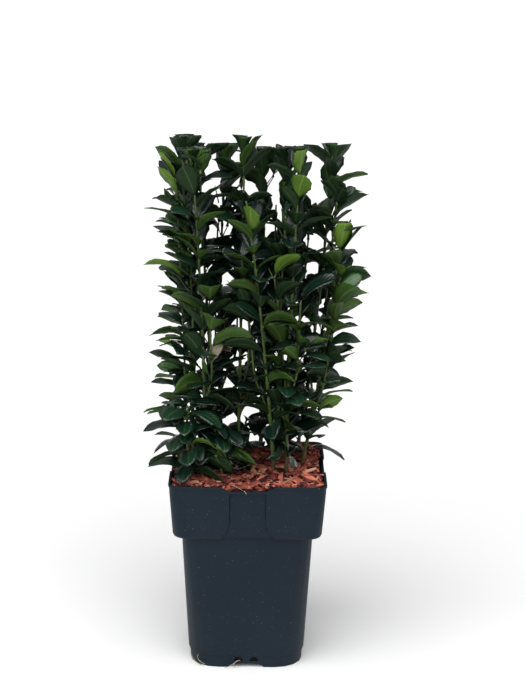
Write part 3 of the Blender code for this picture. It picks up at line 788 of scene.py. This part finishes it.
def stem_mesh(shoot, joints, forks, looks):
    """The wood of one shoot from the soil to its clipped top, and of its branches."""
    heights = ring_heights(SOIL_TOP + ABOVE_SOIL, shoot.top - BELOW_CUT)
    parts = [tube(heights, partial(shoot_point, shoot), partial(stem_radius, shoot), joints, shoot.seed)]
    for fork, fork_joints, end in forks:
        heights = ring_heights(fork.start, end)
        place, radius = partial(fork_point, fork), partial(fork_radius, fork)
        parts.append(tube(heights, place, radius, fork_joints, fork.seed))
    points = []
    faces = []
    slots = []
    for part_points, part_faces, part_slots in parts:
        faces += [tuple(len(points) + n for n in face) for face in part_faces]
        points += part_points
        slots += part_slots
    made = mesh_from("wood_" + shoot.name, np.array(points), faces, looks, slots, smooth=True)
    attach(made, "root")
    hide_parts("stem_" + shoot.name)
    return made


stem_looks = [green_bark_finish(), brown_bark_finish(), cut_wood_finish()]

# %% [markdown]
# A spindle leaf is a leathery oval with blunt teeth, dark and glossy above and matt yellow-green below. It
# leaves the stem steeply on a short stalk and arches over. Every leaf is the same small model, a strip of
# rows and columns that is closed underneath, bent along its own arch. The upper and lower sides have
# slots of their own, because in the photograph the pale undersides of the raised leaves matter most.

# %% Leaf finish
MIDRIB_HALF_WIDTH = 0.015
MIDRIB_EDGE = 0.05
VEIN_SLANT = -0.7
VEIN_WAVES = 62.0
VEIN_DEPTH = 0.00025
LEAF_COAT_ROUGHNESS = 0.25


def leaf_finish(name, dark, light, roughness, vein, coat=0.0, bump=0.35, specular=0.5):
    """Colour from broad noise, a midrib along the middle of the leaf's own map, and faint side veins."""
    finish, tree, shader = new_finish(name, roughness, coat=coat, specular=specular)
    shader.inputs["Coat Roughness"].default_value = LEAF_COAT_ROUGHNESS
    blotches = add_noise(tree, object_coordinates(tree), 70.0, 3.0)
    tint = add_ramp(tree, blotches, [(0.3, dark), (0.7, light)])
    own_map = tree.nodes.new("ShaderNodeUVMap")
    own_map.uv_map = "leaf_map"
    split = tree.nodes.new("ShaderNodeSeparateXYZ")
    tree.links.new(own_map.outputs["UV"], split.inputs["Vector"])
    aside = add_math(tree, "ABSOLUTE", add_math(tree, "SUBTRACT", split.outputs["X"], 0.5))
    rib = add_ramp(tree, aside, [(MIDRIB_HALF_WIDTH, (1, 1, 1)), (MIDRIB_EDGE, (0, 0, 0))])
    paint(tree, shader, add_cover(tree, rib, tint, vein))
    slant = add_math(tree, "MULTIPLY_ADD", aside, VEIN_SLANT, split.outputs["Y"])
    veins = add_math(tree, "SINE", add_math(tree, "MULTIPLY", slant, VEIN_WAVES))
    add_bump(tree, shader, veins, bump, VEIN_DEPTH)
    return finish


# %% Leaf looks
LEAF_LOOKS = [
    leaf_finish("leaf_upper_dark", (0.0015, 0.0085, 0.0065), (0.0035, 0.0175, 0.0110), 0.28,
                (0.014, 0.036, 0.017), coat=0.3),
    leaf_finish("leaf_upper_mid", (0.0030, 0.0180, 0.0100), (0.0075, 0.0350, 0.0150), 0.30,
                (0.028, 0.065, 0.026), coat=0.25),
    leaf_finish("leaf_upper_young", (0.014, 0.062, 0.012), (0.032, 0.105, 0.020), 0.34,
                (0.070, 0.145, 0.040), coat=0.15),
    # The undersides are paler green, as real ones are. The young ones are lighter still: painted light that
    # stands in for light shining through the leaf.
    leaf_finish("leaf_under_dark", (0.0080, 0.0260, 0.0085), (0.0170, 0.0440, 0.0130), 0.6,
                (0.045, 0.080, 0.028), bump=0.5, specular=0.2),
    leaf_finish("leaf_under_mid", (0.027, 0.068, 0.011), (0.050, 0.105, 0.017), 0.6,
                (0.095, 0.155, 0.042), bump=0.5, specular=0.2),
    leaf_finish("leaf_under_young_painted_backlight", (0.078, 0.165, 0.018), (0.120, 0.220, 0.028), 0.6,
                (0.18, 0.27, 0.07), bump=0.5, specular=0.2),
    leaf_finish("leaf_weathered", (0.16, 0.13, 0.085), (0.36, 0.32, 0.24), 0.8,
                (0.30, 0.25, 0.16), bump=0.6),
    green_bark_finish(),
]
LEAF_LOOKS[-1].name = "leaf_stalk"
WEATHERED_SLOT = 6
STALK_SLOT = 7

# %% Leaf model
ROWS = 8
COLUMNS = 4
STALK_SHARE = 0.10
TOOTH = 0.05
LEAF_TIP_TAPER = 0.75
LEAF_WIDEST = 0.3027
LEAF_THICKNESS = 0.00045


def half_width(share):
    """The blade's half width at a share of its length, as a part of its greatest width."""
    if share <= 0 or share >= 1:
        return 0.0
    return 0.5 * share * (1 - share) ** LEAF_TIP_TAPER / LEAF_WIDEST


def model_leaf():
    """The leaf as a flat grid made with bpy.ops: across from -1 to 1, along from 0 to 1, closed below."""
    deselect_all()
    bpy.ops.mesh.primitive_grid_add(x_subdivisions=COLUMNS, y_subdivisions=ROWS, size=2.0)
    grid = bpy.context.active_object
    across = np.array([v.co.x for v in grid.data.vertices])
    along = np.array([(v.co.y + 1) / 2 for v in grid.data.vertices])
    top = [tuple(p.vertices) for p in grid.data.polygons]
    bpy.data.objects.remove(grid)
    edge = (np.abs(across) > 0.99) | (along < 0.001) | (along > 0.999)
    inner = [n for n in range(len(edge)) if not edge[n]]
    below = {n: len(edge) + place for place, n in enumerate(inner)}
    under = [tuple(below.get(n, n) for n in reversed(face)) for face in top]
    across_all = np.concatenate([across, across[inner]])
    along_all = np.concatenate([along, along[inner]])
    side = np.concatenate([np.where(edge, 0.0, 0.5), np.full(len(inner), -0.5)])
    return across_all, along_all, side, top, under


ACROSS, ALONG, SIDE, TOP_FACES, UNDER_FACES = model_leaf()
TEETH = 1 + TOOTH * np.where(np.round(ALONG * ROWS).astype(int) % 2 == 0, 1, -1) * (np.abs(ACROSS) > 0.9)
WIDTHS = np.array([half_width(min(1.0, max(0.0, share))) for share in ALONG])
print("leaf model:", len(TOP_FACES) + len(UNDER_FACES), "faces")

# %% [markdown]
# Each leaf's shape comes from a few numbers: its root, the way it faces, its length and width, how steeply
# it leaves, how far it droops and how it rolls. A curve modifier could bend each blade, but hundreds of them
# are quicker to bend as arrays, by walking along the midrib in small steps.
# A short square stalk joins the blade to the stem.

# %% Midrib of a leaf
MIDRIB_STEPS = 24

Leaf = namedtuple("Leaf", "root out length width rise droop roll fold curl")


def midrib_points(leaf, shares):
    """Points and directions at shares of the midrib, which leaves steeply and arches over to its tip."""
    steps = MIDRIB_STEPS
    parts = (np.arange(steps) + 0.5) / steps
    angles = np.radians(leaf.droop + (leaf.rise - leaf.droop) * (1 - parts) ** 2)
    level = np.concatenate([[0], np.cumsum(np.cos(angles))]) * leaf.length / steps
    height = np.concatenate([[0], np.cumsum(np.sin(angles))]) * leaf.length / steps
    marks = np.arange(steps + 1) / steps
    x = np.interp(shares, marks, level)
    z = np.interp(shares, marks, height)
    angle = np.interp(shares, parts, angles)
    out = np.array(leaf.out)
    up = np.array((0.0, 0.0, 1.0))
    points = np.array(leaf.root) + np.outer(x, out) + np.outer(z, up)
    ahead = np.outer(np.cos(angle), out) + np.outer(np.sin(angle), up)
    return points, ahead


# %% Blade and stalk of a leaf
WAVE_HEIGHT = 0.0006
STALK_PLACES = np.array([0.0, 0.6, 1.25])
STALK_SIZES = (0.00115, 0.0008, 0.00055)
STALK_FLATNESS = 0.8
STALK_CORNERS = ((-1, -1), (1, -1), (1, 1), (-1, 1))


def leaf_points(leaf):
    """Every point of one leaf blade and its stalk."""
    shares = STALK_SHARE + (1 - STALK_SHARE) * ALONG
    spine, ahead = midrib_points(leaf, shares)
    level = np.cross((0, 0, 1.0), np.array(leaf.out))
    level /= np.linalg.norm(level)
    roll = math.radians(leaf.roll)
    over = np.cross(ahead, level)
    over /= np.linalg.norm(over, axis=1)[:, None]
    over *= np.sign(over[:, 2:3] + 1e-9)
    side = level * math.cos(roll) + over * math.sin(roll)
    above = over * math.cos(roll) - level * math.sin(roll)
    reach = ACROSS * WIDTHS * TEETH * leaf.width
    lift = np.abs(reach) * leaf.fold - leaf.curl * (reach**2) / leaf.width
    wave = WAVE_HEIGHT * np.sin(9 * ALONG + leaf.roll) * ACROSS
    blade = spine + side * reach[:, None] + above * (lift + wave + SIDE * LEAF_THICKNESS)[:, None]
    stalk = []
    for point, direction, size in zip(*midrib_points(leaf, STALK_SHARE * STALK_PLACES), STALK_SIZES):
        upward = np.cross(direction, level)
        for x, y in STALK_CORNERS:
            stalk.append(point + size * (level * x - upward * y * STALK_FLATNESS))
    return np.vstack([blade, np.array(stalk)])


BLADE_POINTS = len(ACROSS)
STALK_FACES = []
for ring in range(2):
    for n in range(4):
        low = BLADE_POINTS + 4 * ring
        STALK_FACES.append((low + n, low + (n + 1) % 4, low + 4 + (n + 1) % 4, low + 4 + n))
STALK_FACES.append(tuple(BLADE_POINTS + 3 - n for n in range(4)))
STALK_FACES.append(tuple(BLADE_POINTS + 8 + n for n in range(4)))
LEAF_FACES = TOP_FACES + UNDER_FACES + STALK_FACES
STALK_POINTS = len(STALK_SIZES) * len(STALK_CORNERS)
print("faces of a leaf with its stalk:", len(LEAF_FACES))

# %% [markdown]
# The photograph shows sky between the shoots in some places. Those were measured in pixels of the
# picture, and a leaf that would hide one of them from the camera isn't grown there. Leaves could be taken
# out by hand instead, but a rule still holds when the shoots are moved.

# %% Sky between the shoots
SKY_WINDOWS = (
    (212, 169, 5.5), (235, 159, 5.0), (219, 181, 3.0), (208, 188, 5.0), (216, 205, 4.5), (249, 189, 6.5),
    (274, 188, 6.5), (275, 204, 4.5), (282, 216, 4.0), (316, 193, 8.0), (318, 165, 5.0), (228, 227, 5.0),
    (211, 231, 4.0), (271, 233, 7.0), (313, 243, 6.5), (330, 237, 3.5), (313, 268, 6.0), (204, 271, 5.0),
    (227, 279, 4.5), (237, 250, 4.0), (207, 302, 5.0), (242, 328, 6.0), (211, 337, 6.0), (300, 318, 4.5),
    (315, 334, 4.5), (322, 304, 3.5), (239, 354, 4.0), (239, 366, 4.5), (206, 365, 3.0), (282, 358, 3.0),
    (308, 384, 4.0), (246, 413, 5.0), (230, 423, 4.0), (299, 419, 3.0), (272, 396, 2.5), (323, 289, 3.0),
)
WINDOW_PLACES = np.array([window[:2] for window in SKY_WINDOWS])
WINDOW_RADII = np.array([window[2] for window in SKY_WINDOWS])
WINDOW_MARGIN = 0.2
WINDOW_SHARES = np.array([0.25, 0.4, 0.55, 0.7, 0.85, 0.98])
WINDOW_WIDTHS = np.array([half_width(share) for share in WINDOW_SHARES])
PICTURE_SIZE = (525, 700)
TO_CAMERA = np.array(CAMERA_TURNS.transposed())


def picture_places(points):
    """Where points are seen in the picture, in its pixels."""
    seen = (points - np.array(CAMERA_PLACE)) @ TO_CAMERA.T
    scale = LENS_MM / SENSOR_MM * PICTURE_SIZE[1] / -seen[:, 2]
    return np.stack([PICTURE_SIZE[0] / 2 + seen[:, 0] * scale, PICTURE_SIZE[1] / 2 - seen[:, 1] * scale], 1)


def hides_window(leaf):
    """Whether a leaf would cover one of the places where the photograph shows sky."""
    points = midrib_points(leaf, WINDOW_SHARES)[0]
    level = np.cross((0, 0, 1.0), np.array(leaf.out))
    widths = WINDOW_WIDTHS * leaf.width
    rows = [points + side * widths[:, None] * level for side in (-0.8, 0.0, 0.8)]
    places = picture_places(np.vstack(rows))
    away = np.linalg.norm(places[:, None] - WINDOW_PLACES[None], axis=2)
    return bool((away < WINDOW_RADII + WINDOW_MARGIN).any())


# %% [markdown]
# A new leaf is tried in a few positions, and the first that touches no other leaf or stem is kept, as on
# the real shoot, where leaves push past each other. A physics run could part them, but a plain ten-faced
# stand-in and a fixed list of tries are quick and give the same crown each time.

# %% Clearance between leaves
SHOULDER = (0.30, 0.80)
BROADEST = (0.68, 0.96)
STAND_IN_DEPTH = 0.001
CLEARANCE = 0.0003
TRY_TURNS_DEG = (0, 10, -10, 20, -20, 32, -32, 12, -12, 45, -45, 25, -25, 60, -60)
TRY_TILTS_DEG = (0, 6, -6, 12, 8, 0, -8, 20, 20, 5, 5, 30, 30, 10, 10)
TRY_SIZES = (1, 1, 1, 0.95, 0.95, 0.9, 0.9, 0.78, 0.78, 0.9, 0.9, 0.7, 0.7, 0.8, 0.8)


def stand_in(leaf, shift=0.0):
    """A ten-faced outline of the leaf for the test of clearance."""
    points = midrib_points(leaf, np.array([0.0, SHOULDER[0], BROADEST[0], 1.0, 0.5]))[0]
    level = np.cross((0, 0, 1.0), np.array(leaf.out))
    level /= np.linalg.norm(level)
    over = np.cross(points[3] - points[0], level)
    over /= np.linalg.norm(over)
    over *= 1 if over[2] > 0 else -1
    roll = math.radians(leaf.roll)
    side = level * math.cos(roll) + over * math.sin(roll)
    above = over * math.cos(roll) - level * math.sin(roll)
    low, high = (leaf.width * share[1] / 2 * side for share in (SHOULDER, BROADEST))
    outline = [points[0], points[1] - low, points[2] - high, points[3], points[2] + high, points[1] + low]
    outline.append(points[4] - above * STAND_IN_DEPTH)
    moved = [Vector(p + above * shift) for p in outline]
    top = [(0, 1, 5), (1, 2, 4), (1, 4, 5), (2, 3, 4)]
    under = [((n + 1) % 6, n, 6) for n in range(6)]
    return moved, top + under


def tries_for(leaf):
    """The leaf as it would grow, then turned aside, tilted or shortened in fixed steps."""
    for turn, tilt, size in zip(TRY_TURNS_DEG, TRY_TILTS_DEG, TRY_SIZES):
        out = Matrix.Rotation(math.radians(turn), 3, "Z") @ leaf.out
        yield leaf._replace(out=out, droop=leaf.droop + tilt, length=leaf.length * size,
                            width=leaf.width * size)


def is_clear(leaf, obstacles):
    if hides_window(leaf):
        return False
    for shift in (-CLEARANCE, CLEARANCE):
        tree = BVHTree.FromPolygons(*stand_in(leaf, shift))
        if any(tree.overlap(other) for other in obstacles):
            return False
    return True


def fitted(leaf, obstacles):
    return next((attempt for attempt in tries_for(leaf) if is_clear(attempt, obstacles)), None)


# %% [markdown]
# Along a shoot the leaves change with their height: the low ones arch down, the topmost stand up and are
# smaller. Leaves also roll towards the light. Some leaf axils carry a short side twig with small young
# leaves, finer than the solids have. Every spread is drawn with a fixed seed, so the crown never changes.

# %% One leaf on a shoot
LEAF_LENGTH = 0.0460
LENGTH_SPREAD = (0.86, 1.08)
LEAF_WIDTH_SHARE = 0.47
WIDTH_SPREAD = (0.9, 1.1)
LEAF_ROOT_PAST_AXIS = 0.0005
RISE_DEG = (66, 80)
RISE_SPREAD_DEG = 8
DROOP_DEG = (-14, 14)
DROOP_SPREAD_DEG = 15
YOUNG_FROM = 0.72
YOUNG_SCALE = 0.74
TIP_LIFT_DEG = 44
LIGHT_FROM = Vector((0.35, 0.94, 0.0))
LIGHT_ROLL_DEG = 20.0
ROLL_SPREAD_DEG = 25.0
FOLDS = (0.16, 0.46)
CURLS = (0.1, 0.5)


def leaf_on(root, turn, share, scale, draw):
    """A leaf at a share of the shoot's height."""
    out = Vector((math.sin(turn), -math.cos(turn), 0))
    young = max(0.0, (share - YOUNG_FROM) / (1 - YOUNG_FROM))
    rise = blend(*RISE_DEG, min(1.0, share * 2)) + draw.uniform(-RISE_SPREAD_DEG, RISE_SPREAD_DEG)
    droop = blend(*DROOP_DEG, min(1.0, share * 1.6)) + TIP_LIFT_DEG * young**1.5
    droop += draw.gauss(0, DROOP_SPREAD_DEG)
    length = LEAF_LENGTH * scale * blend(1.0, YOUNG_SCALE, young**2) * draw.uniform(*LENGTH_SPREAD)
    width = length * LEAF_WIDTH_SHARE * draw.uniform(*WIDTH_SPREAD)
    across = Vector((0, 0, 1)).cross(out)
    roll = -LIGHT_ROLL_DEG * across.dot(LIGHT_FROM) + draw.gauss(0, ROLL_SPREAD_DEG)
    start = root - out * LEAF_ROOT_PAST_AXIS
    return Leaf(start, out, length, width, rise, droop, roll, draw.uniform(*FOLDS), draw.uniform(*CURLS))


# %% Leaves and twigs along an axis
PAIR_SPREAD_DEG = 12
FACING_SPREAD_DEG = 8
ROOT_SPREAD = 0.0012
LOW_LEAF_SHARE = 0.7
TWIG_SHARE = 0.09
LOW_TWIG_SHARE = 0.55
TWIG_LENGTH = 0.017
TWIG_SPREAD = (0.7, 1.2)
TWIG_LEAN = (0.5, 0.85)
TWIG_LEAF_SCALE = 0.72
TWIG_LEAF_TURNS_DEG = (85, -85, 10)
TWIG_BELOW_TOP = (0.002, 0.012)


def side_twig(root, facing, share, top, draw):
    """The tip of a short twig in a leaf axil, and its three young leaves."""
    side = Vector((math.sin(facing), -math.cos(facing), 0))
    reach = TWIG_LENGTH * draw.uniform(*TWIG_SPREAD)
    tip = root + side * reach * TWIG_LEAN[0] + Vector((0, 0, reach * TWIG_LEAN[1]))
    tip.z = min(tip.z, top - TWIG_BELOW_TOP[0])
    turns = [facing + math.radians(turn) for turn in TWIG_LEAF_TURNS_DEG]
    return tip, [leaf_on(tip, turn, share, TWIG_LEAF_SCALE, draw) for turn in turns]


def grow(heights, point_at, share_at, axis, obstacles):
    """The leaves and side twigs along one axis, each leaf with the share of the height it grows at."""
    draw = random.Random(axis.seed + 1000)
    top = axis.top
    leaves = []
    twigs = []
    for number, height in enumerate(heights):
        share = share_at(height)
        pair_turn = axis.phase_deg + 90 * number + draw.uniform(-PAIR_SPREAD_DEG, PAIR_SPREAD_DEG)
        for opposite in (0, 1):
            root = point_at(height + draw.uniform(-ROOT_SPREAD, ROOT_SPREAD))
            facing = math.radians(pair_turn) + math.pi * opposite
            facing += math.radians(draw.uniform(-FACING_SPREAD_DEG, FACING_SPREAD_DEG))
            found = fitted(leaf_on(root, facing, share, 1.0, draw), obstacles)
            if found:
                leaves.append((found, share if share > 0 else LOW_LEAF_SHARE))
            tip, young = side_twig(root, facing, share, top, draw)
            has_twig = draw.random() < (TWIG_SHARE if share > 0 else LOW_TWIG_SHARE)
            if has_twig and height < top - TWIG_BELOW_TOP[1]:
                twigs.append((root, tip))
                leaves += [(leaf, 1.0) for leaf in (fitted(wish, obstacles) for wish in young) if leaf]
    return leaves, twigs


# %% [markdown]
# The tint of each leaf is dealt out by its place: mostly dark in the middle, partly as real shade leaves are
# and partly as painted shade, fresher near the tips and on side twigs, and here and there a dead grey-brown
# one. Colour could be blended in one shader, but plain slots for dark, mid and young leaves are kept by
# every file format.

# %% Tints and twigs
LEAF_SEED = 7
WEATHERED_SHARE = 0.008
CROWN_HALF_WIDTH = 0.095
CROWN_HALF_DEPTH = 0.080
CROWN_MIDDLE_Y = 0.010
# Leaves deep inside the crown are dealt darker tints: painted shade, and partly the darker green of real
# shade leaves.
INNER_SHADE_LEAVES_AND_PAINTED_SHADE = 0.7
TIP_FRESHNESS = 0.30
DARK_BELOW = 0.62
MID_BELOW = 1.05
TWIG_RADIUS = 0.0007
TWIG_TAPER = 0.7
TWIG_SIDES = 5


def tint_slots(leaf, share, draw):
    """The slots of the upper and the lower side of one leaf, darker deep inside the crown: painted shade,
    and partly the darker green of real shade leaves.
    """
    if draw.random() < WEATHERED_SHARE:
        return WEATHERED_SLOT, WEATHERED_SLOT
    tip = leaf.root + leaf.out * leaf.length
    outward = min(1.0, max(abs(tip.x) / CROWN_HALF_WIDTH, abs(tip.y - CROWN_MIDDLE_Y) / CROWN_HALF_DEPTH))
    freshness_and_painted_shade = draw.random() + TIP_FRESHNESS * share - INNER_SHADE_LEAVES_AND_PAINTED_SHADE * (1 - outward)
    kind = 0 if freshness_and_painted_shade < DARK_BELOW else 1 if freshness_and_painted_shade < MID_BELOW else 2
    return kind, kind + 3


def twig_points(root, tip):
    """A five-sided twig from inside the stem to a blunt end."""
    along = np.array(tip - root)
    along /= np.linalg.norm(along)
    across = np.cross(along, (0, 0, 1.0))
    across /= np.linalg.norm(across)
    over = np.cross(across, along)
    sides = TWIG_SIDES
    turns = [2 * math.pi * n / sides for n in range(sides)]
    ends = ((np.array(root), TWIG_RADIUS), (np.array(tip), TWIG_RADIUS * TWIG_TAPER))
    points = [end + size * (across * math.cos(t) + over * math.sin(t)) for end, size in ends for t in turns]
    faces = [(n, (n + 1) % sides, sides + (n + 1) % sides, sides + n) for n in range(sides)]
    faces += [tuple(reversed(range(sides))), tuple(range(sides, 2 * sides))]
    return np.array(points), faces


# %% [markdown]
# The tops are cut level, as the shears left them, by a bisect that closes the cut. A leaf that arches over
# the cut loses its middle, so its tip would be left in the air. Points near each leaf's root are marked
# before the cut, and any shell without a mark is deleted after it.

# %% Level tops
def drop_severed_tips(made):
    """Delete what the level cut has severed: every shell that holds none of the marked root points."""
    work = bmesh.new()
    work.from_mesh(made.data)
    marks = work.verts.layers.float["root_mark"]
    seen = set()
    severed = []
    for start in work.verts:
        if start in seen:
            continue
        shell = {start}
        ahead = [start]
        while ahead:
            point = ahead.pop()
            for other in (edge.other_vert(point) for edge in point.link_edges):
                if other not in shell:
                    shell.add(other)
                    ahead.append(other)
        seen |= shell
        if max(point[marks] for point in shell) < 0.5:
            severed += shell
    bmesh.ops.delete(work, geom=severed, context="VERTS")
    work.to_mesh(made.data)
    work.free()
    made.data.attributes.remove(made.data.attributes["root_mark"])


def cut_level(made, top):
    deselect_all()
    bpy.context.view_layer.objects.active = made
    made.select_set(True)
    bpy.ops.object.mode_set(mode="EDIT")
    bpy.ops.mesh.select_all(action="SELECT")
    bpy.ops.mesh.normals_make_consistent(inside=False)
    if top > TALL_FROM:
        bpy.ops.mesh.bisect(plane_co=(0, 0, top), plane_no=(0, 0, 1), use_fill=True, clear_outer=True)
    bpy.ops.object.mode_set(mode="OBJECT")


# %% Foliage of one shoot
STALK_MAP = (0.5, 0.0)


def foliage_mesh(shoot, leaves, twigs):
    """All the leaves and side twigs of one shoot as one mesh, cut level at a tall shoot's top."""
    draw = random.Random(LEAF_SEED + shoot.seed)
    points = []
    faces = []
    slots = []
    maps = []
    marks = []
    count = 0
    for leaf, share in leaves:
        points.append(leaf_points(leaf))
        upper, lower = tint_slots(leaf, share, draw)
        faces += [tuple(count + n for n in face) for face in LEAF_FACES]
        slots += [upper] * len(TOP_FACES) + [lower] * len(UNDER_FACES) + [STALK_SLOT] * len(STALK_FACES)
        for face in TOP_FACES + UNDER_FACES:
            maps += [(ACROSS[n] / 2 + 0.5, ALONG[n]) for n in face]
        maps += [STALK_MAP] * 4 * len(STALK_FACES)
        marks += [float(along < 0.01) for along in ALONG] + [1.0] * STALK_POINTS
        count += BLADE_POINTS + STALK_POINTS
    for root, tip in twigs:
        twig, twig_faces = twig_points(root, tip)
        points.append(twig)
        faces += [tuple(count + n for n in face) for face in twig_faces]
        slots += [STALK_SLOT] * len(twig_faces)
        maps += [STALK_MAP] * sum(len(face) for face in twig_faces)
        marks += [1.0] * len(twig)
        count += len(twig)
    made = mesh_from("foliage_" + shoot.name, np.vstack(points), faces, LEAF_LOOKS, slots, smooth=True)
    layer = made.data.uv_layers.new(name="leaf_map")
    layer.data.foreach_set("uv", np.array(maps).ravel())
    root_mark = made.data.attributes.new("root_mark", "FLOAT", "POINT")
    root_mark.data.foreach_set("value", marks)
    cut_level(made, shoot.top)
    drop_severed_tips(made)
    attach(made, "root")
    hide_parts("leaves_" + shoot.name)
    return made


# %% [markdown]
# Before a leaf is grown it has to know what is in its way. Every axis gets a thin guide column, and every
# finished axis adds the outlines of its leaves. Search trees of those answer quickly, where comparing whole
# meshes would take minutes.

# %% Guides and outlines
GUIDE_SIDES = 3
OUTLINE_POINTS = 7


def guide_tree(heights, axis, radius):
    """A thin three-sided column round an axis, which the leaves of other axes must not touch."""
    points = []
    for height in heights:
        for side in range(GUIDE_SIDES):
            turn = 2 * math.pi * side / GUIDE_SIDES
            points.append(axis(height) + radius * Vector((math.cos(turn), math.sin(turn), 0)))
    faces = []
    for ring in range(len(heights) - 1):
        for n in range(GUIDE_SIDES):
            at = GUIDE_SIDES * ring
            ahead = at + (n + 1) % GUIDE_SIDES
            faces.append((at + n, ahead, ahead + GUIDE_SIDES, at + n + GUIDE_SIDES))
    return BVHTree.FromPolygons(points, faces)


def outline_tree(leaves):
    outlines = [stand_in(leaf) for leaf, share in leaves]
    points = [p for outline in outlines for p in outline[0]]
    faces = []
    for number, outline in enumerate(outlines):
        faces += [tuple(n + OUTLINE_POINTS * number for n in face) for face in outline[1]]
    return BVHTree.FromPolygons(points, faces)


# %% Growing shoots and branches
LOW_SHARE = -0.6
BRANCH_SHARE = 0.25
BARE_TIP = 0.0025


def shoot_share(shoot, height):
    """How far up a shoot a height is. The low leafy shoots count as all low."""
    share = (height - MULCH_TOP) / (shoot.top - MULCH_TOP)
    return share if shoot.top > TALL_FROM else 0.4 * share + LOW_SHARE


def fork_share(fork, height):
    return blend(BRANCH_SHARE, 1.0, ((height - fork.start) / (fork.top - fork.start)) ** 2)


def grow_axis(axis, obstacles):
    """The leaf pairs' heights, the leaves and the twigs of one shoot or branch."""
    is_fork = axis in FORKS
    heights_of, point, share = (
        (fork_heights, fork_point, fork_share) if is_fork else (pair_heights, shoot_point, shoot_share)
    )
    heights = heights_of(axis, random.Random(axis.seed))
    return heights, *grow(heights, partial(point, axis), partial(share, axis), axis, obstacles)


def branch_end(fork, leaves):
    """A branch ends a little above its last leaf, as the bare tip would have been cut off."""
    axis_leaves = [leaf.root.z for leaf, share in leaves]
    return min(fork.top, max(axis_leaves, default=fork.start + FORK_RISE) + BARE_TIP)


# %% Growing the crown
SHOOT_RINGS = 20
FORK_RINGS = 16
FORK_GUIDE_FROM = 0.02

guides = {}
for shoot in SHOOTS:
    heights = [blend(SOIL_TOP, shoot.top, n / SHOOT_RINGS) for n in range(SHOOT_RINGS + 1)]
    guides[shoot] = guide_tree(heights, partial(shoot_point, shoot), STEM_RADIUS + CLEARANCE)
for fork in FORKS:
    low = fork.start + FORK_GUIDE_FROM
    heights = [blend(low, fork.top, n / FORK_RINGS) for n in range(FORK_RINGS + 1)]
    guides[fork] = guide_tree(heights, partial(fork_point, fork), FORK_RADIUS + CLEARANCE)

still = [tree_of(nodes["pot"]), tree_of(nodes["bark_mulch"])]
placed = []
grown = {}
for axis in SHOOTS + FORKS:
    own = BY_NAME[axis.shoot] if axis in FORKS else axis
    others = [tree for other, tree in guides.items() if other not in (axis, own)]
    grown[axis] = grow_axis(axis, still + others + placed)
    placed.append(outline_tree(grown[axis][1]))

print("axes grown:", len(grown))

# %% Wood and foliage
total = 0
for shoot in SHOOTS:
    joints, leaves, twigs = grown[shoot]
    branches = []
    for fork in [fork for fork in FORKS if fork.shoot == shoot.name]:
        fork_joints, fork_leaves, fork_twigs = grown[fork]
        branches.append((fork, fork_joints, branch_end(fork, fork_leaves)))
        leaves = leaves + fork_leaves
        twigs = twigs + fork_twigs
    stem_mesh(shoot, joints, branches, stem_looks)
    foliage_mesh(shoot, leaves, twigs)
    total += len(leaves)
    print(shoot.name, len(leaves), "leaves", len(twigs), "twigs")
print("leaves in all:", total)

# %% [markdown]
# A few pale roots have found their way out through the drain holes at the foot and curl along the base, and
# a few pale fibres of bark stand up at the rim. Each could be a stretched cylinder, but a thin tapering curve
# is easier to lead, so that is drawn and then made into a mesh, kept just clear of the ground.

# %% Roots at the drain holes
ROOT_RADIUS = 0.0004
ROOT_TAPER = 0.6
ROOT_PATHS = (
    ((-0.006, -0.0555, 0.0075), (-0.010, -0.0585, 0.0085),
     (-0.014, -0.0590, 0.0050), (-0.011, -0.0585, 0.0015)),
    ((-0.009, -0.0555, 0.0070), (-0.012, -0.0580, 0.0040),
     (-0.017, -0.0590, 0.0020), (-0.021, -0.0588, 0.0008)),
    ((-0.040, -0.0520, 0.0020), (-0.046, -0.0545, 0.0050),
     (-0.050, -0.0530, 0.0105), (-0.046, -0.0540, 0.0130)),
    ((-0.043, -0.0520, 0.0012), (-0.049, -0.0525, 0.0030),
     (-0.052, -0.0490, 0.0060), (-0.053, -0.0460, 0.0090)),
)
FIBRE_PATHS = (
    ((-0.0150, -0.0640, 0.1885), (-0.0115, -0.0680, 0.1890),
     (-0.0080, -0.0715, 0.1880), (-0.0050, -0.0735, 0.1868)),
    ((-0.0035, -0.0735, 0.1862), (-0.0025, -0.0750, 0.1860),
     (-0.0018, -0.0756, 0.1848), (-0.0012, -0.0757, 0.1836)),
    ((0.0300, -0.0560, 0.1880), (0.0360, -0.0600, 0.1905),
     (0.0400, -0.0590, 0.1925), (0.0430, -0.0560, 0.1945)),
)


def root_finish():
    finish, tree, shader = new_finish("pale_root", 0.7, specular=0.3)
    spots = add_noise(tree, object_coordinates(tree), 500.0)
    tint = add_ramp(tree, spots, [(0.3, (0.20, 0.17, 0.12)), (0.7, (0.42, 0.38, 0.30))])
    paint(tree, shader, tint)
    return finish


def add_root(number, path, look):
    """One thin root as a curve through its points, turned into a mesh."""
    deselect_all()
    bpy.ops.curve.primitive_nurbs_path_add(location=(0, 0, 0))
    root = bpy.context.active_object
    root.name = "root_" + str(number)
    spline = root.data.splines[0]
    last = len(spline.points) - 1
    for n, point in enumerate(spline.points):
        point.co = (*path[min(n, len(path) - 1)], 1.0)
        point.radius = 1.0 - ROOT_TAPER * n / last
    spline.use_endpoint_u = True
    root.data.bevel_depth = ROOT_RADIUS
    root.data.bevel_resolution = 2
    root.data.use_fill_caps = True
    bpy.ops.object.convert(target="MESH")
    root = bpy.context.active_object
    root.data.materials.clear()
    root.data.materials.append(look)
    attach(root, "root")
    return root


root_look = root_finish()
for number, path in enumerate(ROOT_PATHS + FIBRE_PATHS):
    add_root(number, path, root_look)
print("roots and fibres:", len(ROOT_PATHS) + len(FIBRE_PATHS))

# %% [markdown]
# Last, the height of the dressed model is printed, in millimetres.

# %% Height of the dressed model
low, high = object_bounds()
print("dressed height in mm:", round(1000 * high[2]))
